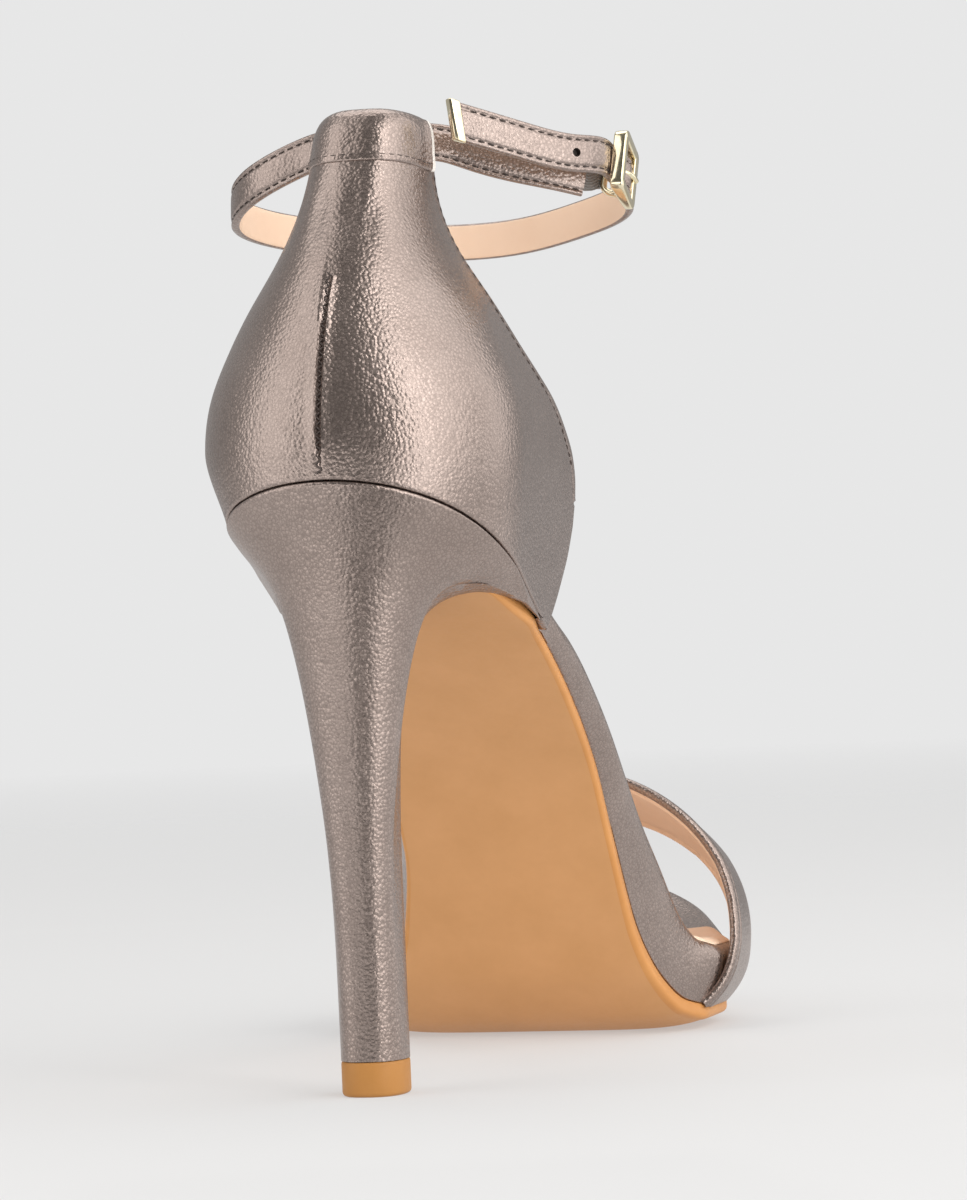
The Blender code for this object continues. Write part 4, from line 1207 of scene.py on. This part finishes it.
def build_counter():
    shares = np.linspace(-NOSE_SHARE, NOSE_SHARE, 241)
    rises = np.linspace(0.0, 1.0, 96)
    grid = np.zeros((len(shares), len(rises), 3))
    turn = np.zeros(grid.shape[:2])
    for i, share in enumerate(shares):
        foot, top = counter_bounds(abs(share))
        side = 1.0 if share >= 0.0 else -1.0
        for j, rise in enumerate(rises):
            turn[i, j] = foot[0] + rise * (top[0] - foot[0])
            grid[i, j] = counter_point(side * turn[i, j], foot[1] + rise * (top[1] - foot[1]))
    grid = grid + counter_relief(grid, turn, shares)[:, :, None] * grid_normals(grid)
    normal = grid_normals(grid)
    free = np.array([[clip(abs(share), FOOT_SHARE, FOOT_FREE)] for share in shares])
    rings, index = shell_rings(grid, normal, UPPER_WALL, first=FOOT_EDGE + (1.0 - FOOT_EDGE) * free)
    rings = round_ends(rings, grid, normal, UPPER_WALL)
    ends = (len(END_TURNS), len(END_TURNS))
    mesh = ring_mesh("counter", rings, [leather, lining], index, shell=len(rises), cap_rows=ends)
    add_piece("counter_shell", mesh, "counter")
    stitch_topline(grid, normal, shares)
    stitch_seam(grid[len(shares) // 2])


def stitch_topline(grid, normal, shares):
    """Fine stitches just inside the topline of each side."""
    made = []
    for side in (-1.0, 1.0):
        line = []
        out = []
        for i, share in enumerate(shares):
            if not STITCH_SHARES[0] < share * side < STITCH_SHARES[1]:
                continue
            reach = lengths(grid[i, ::-1])[1:]
            k = int(np.searchsorted(reach, TOPLINE_STITCH_IN * 1.25))
            if k < grid.shape[1] - 2:
                line.append(grid[i, -1 - k])
                out.append(normal[i, -1 - k])
        made += running_stitches(np.array(line), np.array(out))
    add_stitches("topline_stitches", made, TOPLINE_THREAD)


def stitch_seam(column):
    """Zigzag of thread that closes the back seam, up the counter's middle column."""
    reach = lengths(column)
    last = float(np.interp(SEAM_TOP - 0.5, column[:, 2], reach))
    out = unit(np.array([0.0, -1.0, 0.15]))
    lean = np.array([SEAM_HALF, 0.0, 0.0])
    made = []
    for start in np.arange(0.8, last - SEAM_STEP, SEAM_STEP):
        first, second = at_length((start, start + SEAM_STEP), reach, column) + SEAM_PROUD * out
        made.append((first - lean, second + lean, out))
        lean = -lean
    add_stitches("seam_stitches", made, SEAM_THREAD)


def sleeve_z(z, share):
    """Height on the sleeve at a share across it: a domed top and a seam that arcs over the neck."""
    high = ease(z, *SLEEVE_HIGH)
    fall = SLEEVE_FALL[1] if share > 0.0 else SLEEVE_FALL[0]
    return z + (1.0 - high) * SEAM_ARC * (1.0 - 2.0 * share * share) - high * (0.4 + fall * share * share)


def build_sleeve():
    """Tab folded over the strap at the top of the counter, with its stitched lower edge."""
    path = spline([(out, z, 0.0) for out, z in SLEEVE_HOOK], 64)[:, :2]
    corner = counter_angle(EDGE(SLEEVE_MID), SLEEVE_MID)
    grid = []
    for share in np.linspace(-1.0, 1.0, 101):
        turn = share * SLEEVE_REACH * corner
        flare = SLEEVE_FLARE * ease(share, *FLARE_BLEND)
        column = []
        for out, z in path:
            away = out + (flare if out > -1.0 else 0.0)
            column.append(counter_point(turn, sleeve_z(z, share)) + away * counter_out(turn, z))
        grid.append(column)
    grid = np.array(grid)
    normal = grid_normals(grid)
    rings, index = shell_rings(grid, normal, SLEEVE_WALL)
    looks = [leather, lining, cut_edge]
    mesh = ring_mesh("sleeve", rings, looks, index, shell=len(path), cap=2, cap_rows=(0, 2))
    add_piece("sleeve_tab", mesh, "heel_sleeve")
    row = 2
    made = running_stitches(grid[:, row], normal[:, row], SLEEVE_PITCH)
    add_stitches("sleeve_stitches", made, SLEEVE_THREAD)


# Straps and buckle

def strap_line():
    """Points of the strap from its short end, through the sleeve and round to its free end."""
    corner = counter_angle(EDGE(SLEEVE_MID), SLEEVE_MID)
    inside = []
    for share in np.linspace(STRAP_INSIDE, -STRAP_INSIDE, 9):
        angle = corner * share
        z = SLEEVE_MID - SLEEVE_SAG * share * share
        inside.append(counter_point(angle, z) - SLEEVE_DEPTH * counter_out(angle, z))
    return np.array([*STRAP_SHORT_END, *inside, *STRAP_ROUND])


def strap_frames(line):
    """Tangent, width and outward directions along a band that stands on edge."""
    ahead = unit(np.gradient(line, axis=0))
    wide = []
    for point, along in zip(line, ahead):
        level = unit(np.array([-along[1], along[0], 0.0]))
        from_back = math.hypot(point[0], point[1] - SLEEVE_Y)
        lean = STRAP_LEAN + SLEEVE_LEAN * bump(from_back, SLEEVE_LEAN_REACH)
        up = np.array([0.0, 0.0, 1.0]) - lean * level
        wide.append(unit(up - along * (along @ up)))
    wide = np.array(wide)
    return ahead, wide, np.cross(wide, ahead)


def strap_section():
    """Section of the strap: domed face with two stitch grooves, round edges and a flat lining."""
    half_w = 0.5 * STRAP_WIDTH
    half_t = 0.5 * STRAP_THICK
    flat = half_w - STRAP_EDGE
    groove = half_w - STRAP_STITCH_IN
    turns = np.linspace(0.0, math.pi, 9)[1:-1]
    section = []
    for w in np.linspace(flat, -flat, 31):
        rise = STRAP_DOME * (1.0 - (w / half_w) ** 2) - GROOVE_DEEP * bump(abs(w) - groove, GROOVE_HALF)
        section.append((w, half_t - STRAP_FACE + rise))
    section += [(-flat - STRAP_EDGE * math.sin(t), half_t * math.cos(t)) for t in turns]
    lined = len(section)
    section += [(w, -half_t) for w in np.linspace(-flat, flat, 13)]
    after = len(section)
    section += [(flat + STRAP_EDGE * math.sin(t), half_t * math.cos(t)) for t in turns[::-1]]
    index = [0] * len(section)
    index[lined - 1:after] = [1] * (after - lined + 1)
    return section, index


def build_strap():
    line = spline(strap_line(), 460)
    ahead, wide, out = strap_frames(line)
    section, index = strap_section()
    reach = lengths(line)
    at_buckle = reach[int(np.argmin(np.linalg.norm(line - BUCKLE_MIDDLE, axis=1)))]
    swell = BUCKLE_SWELL * bump(reach - at_buckle + SWELL_BACK, SWELL_REACH)
    line = line + swell[:, None] * out
    slant = [END_SLANT * ease(at, reach[-1] - SLANT_RUN, SLANT_RUN) for at in reach]
    rings = [
        [p + a * w + b * o + s * a * g for a, b in section]
        for p, w, o, g, s in zip(line, wide, out, ahead, slant)
    ]
    mesh = ring_mesh("ankle_strap", rings, [leather, lining, painted_hole_shade], index)
    strap = add_piece("ankle_strap_band", mesh, "ankle_strap")
    punch_hole(strap, line, out, int(np.argmin(np.abs(reach - at_buckle - HOLE_AHEAD))))
    made = []
    for edge in (-1.0, 1.0):
        offset = edge * (0.5 * STRAP_WIDTH - STRAP_STITCH_IN)
        made += running_stitches(line + offset * wide + STITCH_OUT * out, out)
    add_stitches("strap_stitches", made, STRAP_THREAD)
    return line


def punch_hole(strap, line, out, k):
    """Round hole down to the strap's lining at one point of its line, its walls in a near-black painted
    shade.
    """
    punch = bmesh.new()
    turn = Vector(out[k]).to_track_quat("Z", "Y").to_matrix().to_4x4()
    bmesh.ops.create_cone(
        punch, cap_ends=True, segments=20, radius1=HOLE_RADIUS * MM, radius2=HOLE_RADIUS * MM,
        depth=2.0 * MM, matrix=Matrix.Translation(Vector(line[k] + 0.7 * out[k]) * MM) @ turn,
    )
    mesh = bpy.data.meshes.new("punch")
    punch.to_mesh(mesh)
    punch.free()
    # The hole's walls take the painted shade.
    mesh.materials.append(painted_hole_shade)
    tool = add_object("punch", mesh)
    cut = strap.modifiers.new("holes", "BOOLEAN")
    cut.operation = "DIFFERENCE"
    cut.solver = "EXACT"
    cut.material_mode = "TRANSFER"
    cut.object = tool
    done = made_mesh(strap)
    strap.modifiers.remove(cut)
    strap.data = done
    bpy.data.objects.remove(tool)


def made_mesh(item):
    """New mesh of an object with its modifiers or its bevel applied."""
    bpy.context.view_layer.update()
    return bpy.data.meshes.new_from_object(item.evaluated_get(bpy.context.evaluated_depsgraph_get()))


def corner_turns(steps):
    """Signs of each corner of a rectangle, with the turns of a quarter circle round it."""
    for k, (cx, cy) in enumerate(((1, 1), (-1, 1), (-1, -1), (1, -1))):
        for turn in np.linspace(0.5 * k * math.pi, 0.5 * (k + 1) * math.pi, steps):
            yield cx, cy, turn


def round_section(width, thick, soft, steps=4):
    """Rounded rectangle as (across, out) pairs."""
    section = []
    for cx, cy, turn in corner_turns(steps):
        x = cx * (0.5 * width - soft) + soft * math.cos(turn)
        y = cy * (0.5 * thick - soft) + soft * math.sin(turn)
        section.append((x, y))
    return section


def build_tip(line):
    """Metal cap on the free end, with softened edges."""
    ahead, wide, out = (directions[-1] for directions in strap_frames(line))
    rings = []
    for reach, shrink in TIP_PROFILE:
        section = round_section(STRAP_WIDTH + 0.3 - shrink, STRAP_THICK + 0.5 - shrink, TIP_SOFT)
        rings.append([line[-1] + (reach + END_SLANT * a) * ahead + a * wide + b * out for a, b in section])
    mesh = ring_mesh("tip", rings, [gold])
    add_piece("strap_tip_cap", mesh, "strap_tip")


def buckle_axes():
    ahead = unit(BUCKLE_AHEAD)
    up = np.array([0.0, 0.0, 1.0])
    wide = unit(up - ahead * (ahead @ up))
    return ahead, wide, np.cross(ahead, wide)


def build_buckle():
    """Faceted rectangular frame over the strap and a centre bar that dips under it."""
    ahead, wide, out = buckle_axes()
    over = 0.5 * STRAP_THICK + BUCKLE_GAP + 0.5 * FRAME_THICK
    half_l = 0.5 * (FRAME_LENGTH - FRAME_BAR)
    half_h = 0.5 * (FRAME_HEIGHT - FRAME_BAR)
    section = round_section(FRAME_BAR + 0.2, FRAME_THICK + 0.5, FRAME_SOFT, 3)
    rings = []
    for cx, cy, turn in corner_turns(5):
        spoke = math.cos(turn) * ahead + math.sin(turn) * wide
        along = cx * (half_l - FRAME_CORNER) * ahead + cy * (half_h - FRAME_CORNER) * wide
        place = BUCKLE_MIDDLE + along + over * out
        deep, proud = FRAME_REAR if cx < 0 else FRAME_FRONT
        rings.append([place + (FRAME_CORNER + a) * spoke + (deep * b + proud) * out for a, b in section])
    frame_mesh = ring_mesh("buckle", rings, [gold], loop=True)
    add_piece("buckle_ring", frame_mesh, "buckle_frame")
    dip = (
        (half_h, over), (half_h - 0.2, 0.2), (half_h - 1.2, -over), (0.0, -over - 0.1), (1.2 - half_h, -over),
        (0.2 - half_h, 0.2), (-half_h, over),
    )
    path = spline([BUCKLE_MIDDLE + a * wide + b * out for a, b in dip], 40)
    bar = sweep("buckle_bar", path, BAR_RADIUS, gold)


def sweep(name, path, radius, material):
    """Round bar along a path."""
    shape = bpy.data.curves.new(name, "CURVE")
    shape.dimensions = "3D"
    shape.bevel_depth = radius * MM
    shape.bevel_resolution = 4
    shape.use_fill_caps = True
    line = shape.splines.new("POLY")
    line.points.add(len(path) - 1)
    for point, place in zip(line.points, path):
        point.co = (*(place * MM), 1.0)
    source = add_object(name + "_path", shape)
    mesh = made_mesh(source)
    bpy.data.objects.remove(source)
    mesh.materials.clear()
    mesh.materials.append(material)
    mesh.shade_smooth()
    mesh.set_sharp_from_angle(angle=math.radians(50.0))
    return add_piece(name, mesh, None)


def build_prong():
    """Pin from the centre bar, through the strap's face and over the front of the frame."""
    ahead, _, out = buckle_axes()
    over = 0.5 * STRAP_THICK + BUCKLE_GAP + FRAME_THICK + 0.5 * PRONG_RADIUS
    near = 0.5 * STRAP_THICK + PRONG_RADIUS - 0.2
    bends = ((0.0, near - 0.6), (1.0, near + 0.4), (3.0, over), (0.5 * FRAME_LENGTH - 0.7, over))
    path = spline([BUCKLE_MIDDLE + a * ahead + b * out for a, b in bends], 30)
    prong = sweep("prong_pin", path, 0.85 * PRONG_RADIUS, gold)
    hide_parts("buckle_prong")


def build_elastic():
    """Ribbed elastic from the short end of the strap to the centre bar."""
    ahead, wide, out = buckle_axes()
    under = 0.5 * STRAP_THICK + BUCKLE_GAP + FRAME_THICK + BUCKLE_GAP + 0.5 * ELASTIC_THICK
    end = BUCKLE_MIDDLE + 0.6 * ahead - under * out - ELASTIC_DROP * wide
    start = np.array(STRAP_SHORT_END[0])
    away = unit(start - np.array(STRAP_SHORT_END[1]))
    line = spline((start - 0.4 * away, start + 1.2 * away - 0.5 * out, end - 1.5 * ahead, end), 40)
    _, across, outward = strap_frames(line)
    section = []
    for face in (1.0, -1.0):
        for w in face * np.linspace(0.5, -0.5, 33):
            rib = ELASTIC_RIB * math.cos(2.0 * ELASTIC_RIBS * math.pi * w)
            section.append((w * ELASTIC_WIDTH, face * (0.5 * ELASTIC_THICK - ELASTIC_RIB + rib)))
    rings = [[p + a * w + b * o for a, b in section] for p, w, o in zip(line, across, outward)]
    mesh = ring_mesh("elastic", rings, [elastic])
    add_piece("elastic_ribbed", mesh, "elastic_loop")


def toe_strap_point(u, edge):
    """Inner face of the toe strap: u across from -1 inner to 1 outer, edge from rear 0 to front 1."""
    y_foot, y_crown, top, power = (STRAP[name](edge) for name in TOE_STRAP_COLUMNS[1:])
    foot_z = SOLE["z"](y_foot) + STRAP_FOOT
    rim_z = SOLE["z"](y_foot) + SOLE["platform"](y_foot)
    share = min(abs(u) / STRAP_ARC, 1.0)
    down = max((abs(u) - STRAP_ARC) / (1.0 - STRAP_ARC), 0.0)
    rise = abs(math.cos(0.5 * math.pi * share)) ** (2.0 / power)
    reach = abs(math.sin(0.5 * math.pi * share)) ** (2.0 / power)
    z = rim_z + (top - rim_z) * rise - (rim_z - foot_z) * down
    above = max(z - foot_z, 0.0)
    beside = min(above, rim_z - foot_z)
    y, y_side = (y_foot + (y_crown - y_foot) * min(1.0, h / STRAP_RISE) ** 0.8 for h in (above, beside))
    outer, inner = half_widths(y_side, 1.0 - down)
    clear = STRAP_CLEAR - FOOT_TUCK * down ** 3
    spread = 0.5 * (outer + inner) + clear + SIDE_BULGE * math.sin(math.pi * down)
    return np.array([0.5 * (outer - inner) + math.copysign(reach * spread, u), y, z])


def build_toe_strap():
    across = np.linspace(-1.0, 1.0, 181)
    edges = np.linspace(0.02, 0.98, 64)
    grid = np.array([[toe_strap_point(u, e) for e in edges] for u in across])
    normal = grid_normals(grid)
    if normal[len(across) // 2, len(edges) // 2, 2] < 0.0:
        normal = -normal
    grid = grid + TOE_STRAP_WALL * normal
    from_rear = np.array([lengths(row) for row in grid])
    from_front = from_rear[:, -1:] - from_rear
    lift = np.zeros(from_rear.shape)
    for place, high, wide in STRAP_FOLDS:
        lift += high * (bump(from_rear - place, wide) + bump(from_front - place, wide))
    grid = grid + lift[:, :, None] * normal
    rings, index = shell_rings(grid, normal, TOE_STRAP_WALL)
    mesh = ring_mesh("toe_strap", rings, [leather, lining], index, shell=len(edges))
    add_piece("toe_strap_band", mesh, "toe_strap")


# Stage, light and camera

CAMERA_PLACE = (302.0, -975.9, 96.9)
PHOTO_AHEAD = (-0.3137, 0.9494, 0.0137)
PHOTO_UP = (0.0436, 0.0, 0.999)
PHOTO_FOCAL = 4182.0     # in pixels of the 967 by 1200 photo
PHOTO_MIDDLE = (483.5, 595.0)
SHOE_MIDDLE = (660.0, 687.0)
PHOTO_HEIGHT = 1200.0
CLOSER = 1.38            # how much nearer than the photo the frame closes in on the one shoe
SENSOR = 36.0
FLOOR_HALF = 3.0
FLOOR_FADE = (0.5, 1.6)
LIGHT_COLOR = (1.0, 0.98, 0.96)
# Name, then turn, rise and distance round the camera, width and height, and brightness
SOFT_BOXES = (
    ("left_box", (-74.0, 28.0, 1.3), (1.0, 1.8), 1.45),
    ("right_box", (56.0, 28.0, 1.3), (1.1, 1.8), 1.65),
    ("bright_box", (33.0, 22.0, 1.25), (0.3, 1.5), 3.0),
    ("side_box", (104.0, 22.0, 1.3), (0.8, 1.5), 1.1),
    ("back_box", (175.0, 66.0, 1.5), (1.4, 1.1), 1.7),
)
CARD_TURNS = (-34.0, 30.0)
CARD_REACH = 0.62
CARD_DOWN = 0.097
CARD_SIZE = (0.5, 0.6)
CARD_GLOW = 1.3
DARK_PLACE = (-6.0, 26.0, 1.0)      # middle of the darker part of the surroundings
SKY_GLOW = (0.42, 0.13)             # brightness of the surroundings away from it and at it
SKY_TURN = (0.3, 0.82)              # cosines of the angles from it between which they fade
SKY_SEEN = 0.80                     # brightness of the background behind the shoe
FLAG_HALF = 0.05                    # half width of the dark card at its near end
FLAG_ENDS = (0.12, 0.5)
FLAG_SPREAD = 2.2                   # how much wider its far end is
FLAG_TURN = 1.0
FLAG_LIFT = 0.003


def camera_axes():
    ahead = Vector(PHOTO_AHEAD).normalized()
    up = Vector(PHOTO_UP)
    up = (up - ahead * up.dot(ahead)).normalized()
    right = ahead.cross(up)
    side = (SHOE_MIDDLE[0] - PHOTO_MIDDLE[0]) / PHOTO_FOCAL
    drop = (SHOE_MIDDLE[1] - PHOTO_MIDDLE[1]) / PHOTO_FOCAL
    aim = (ahead + side * right - drop * up).normalized()
    up = (up - aim * up.dot(aim)).normalized()
    return aim, up, aim.cross(up)


def build_camera():
    aim, up, right = camera_axes()
    data = bpy.data.cameras.new("camera")
    data.sensor_width = SENSOR
    data.lens = PHOTO_FOCAL / PHOTO_HEIGHT * SENSOR * CLOSER
    data.clip_start = 0.01
    data.clip_end = 50.0
    item = add_object("camera", data)
    turn = Matrix((right, up, -aim)).transposed().to_4x4()
    item.matrix_world = Matrix.Translation(Vector(CAMERA_PLACE) * MM) @ turn
    bpy.context.scene.camera = item


def flat_card(name, corners, look):
    """Flat card with four corners."""
    mesh = bpy.data.meshes.new(name)
    mesh.from_pydata(corners, [], [(0, 1, 2, 3)])
    mesh.materials.append(look.owner)
    return add_object(name, mesh)


def build_floor():
    """Pale floor that fades into the pale background."""
    look = new_look("pale_floor", {
        "Base Color": (0.36, 0.36, 0.36, 1.0), "Roughness": 0.9, "Specular IOR Level": 0.1,
        "Emission Color": (1.0, 1.0, 1.0, 1.0), "Emission Strength": 0.39,
    })
    length = look.add("ShaderNodeVectorMath", {0: look.place()}, operation="LENGTH")["Value"]
    look.give(look.end, {"Alpha": look.remap(length, 1.0, 0.0, *FLOOR_FADE)})
    corners = [(x * FLOOR_HALF, y * FLOOR_HALF, 0.0) for x, y in ((-1, -1), (1, -1), (1, 1), (-1, 1))]
    item = flat_card("floor", corners, look)


def around_camera(turn, rise, reach):
    """Place at an angle right of the camera as seen from the shoe, at a rise and a distance in metres."""
    back = Vector((-PHOTO_AHEAD[0], -PHOTO_AHEAD[1], 0.0)).normalized()
    right = Vector((-back.y, back.x, 0.0))
    turn, rise = math.radians(turn), math.radians(rise)
    level = back * math.cos(turn) + right * math.sin(turn)
    return reach * (level * math.cos(rise) + Vector((0.0, 0.0, math.sin(rise)))) + Vector((0.0, 0.0, 0.1))


def softbox(name, place, size, glow, flat=False, glossy=True):
    """Soft box that faces the shoe, or one that lies flat and faces up. glow is its brightness."""
    data = bpy.data.lights.new(name, "AREA")
    data.shape = "RECTANGLE"
    data.size, data.size_y = size
    data.energy = glow * math.pi * size[0] * size[1]
    data.color = LIGHT_COLOR
    item = add_object(name, data)
    item.visible_glossy = glossy
    item.location = place
    aim = Vector((0.0, 0.0, 1.0)) if flat else Vector((0.0, 0.03, 0.1)) - place
    item.rotation_euler = aim.to_track_quat("-Z", "Y").to_euler()


def build_light():
    """Pale surroundings, darker behind the camera, and soft boxes to both sides and above."""
    world = bpy.data.worlds.new("studio")
    bpy.context.scene.world = world
    look = Look(world, "Background", {"Color": (1.0, 1.0, 1.0, 1.0)})
    place = look.add("ShaderNodeTexCoord", {})["Generated"]
    dark = around_camera(*DARK_PLACE).normalized()
    toward = look.add("ShaderNodeVectorMath", {0: place, 1: dark}, operation="DOT_PRODUCT")["Value"]
    seen = look.add("ShaderNodeMix", {
        "Factor": look.add("ShaderNodeLightPath", {})["Is Camera Ray"],
        "A": look.remap(toward, *SKY_GLOW, *SKY_TURN),
        "B": SKY_SEEN,
    })
    look.give(look.end, {"Strength": seen["Result"]})
    for name, place, size, glow in SOFT_BOXES:
        softbox(name, around_camera(*place), size, glow)
    for turn in CARD_TURNS:
        place = around_camera(turn, 0.0, CARD_REACH) - Vector((0.0, 0.0, CARD_DOWN))
        softbox("floor_card", place, CARD_SIZE, CARD_GLOW, flat=True)
    softbox("front_fill", around_camera(4.0, 30.0, 1.5), (0.9, 0.9), 2.4, glossy=False)
    bpy.context.scene.view_settings.view_transform = "Standard"


def build_flag():
    """Dark card that lies low between the camera and the heel and only shows in reflections."""
    ahead = around_camera(FLAG_TURN, 0.0, 1.0)
    ahead.z = 0.0
    ahead.normalize()
    side = FLAG_HALF * Vector((-ahead.y, ahead.x, 0.0))
    lift = Vector((0.0, 0.0, FLAG_LIFT))
    near, far = (end * ahead + lift for end in FLAG_ENDS)
    corners = [near - side, near + side, far + FLAG_SPREAD * side, far - FLAG_SPREAD * side]
    flag = flat_card("flag", corners, new_look("flag_cloth", {
        "Base Color": (0.1, 0.1, 0.1, 1.0), "Roughness": 1.0,
    }))
    flag.visible_camera = False
    flag.visible_diffuse = False
    flag.visible_shadow = False


build_camera()
build_floor()
build_light()
build_flag()
build_platform()
build_outsole()
build_sock()
build_heel()
build_top_piece()
build_counter()
build_sleeve()
strap_path = build_strap()
build_tip(strap_path)
build_buckle()
build_prong()
build_elastic()
build_toe_strap()
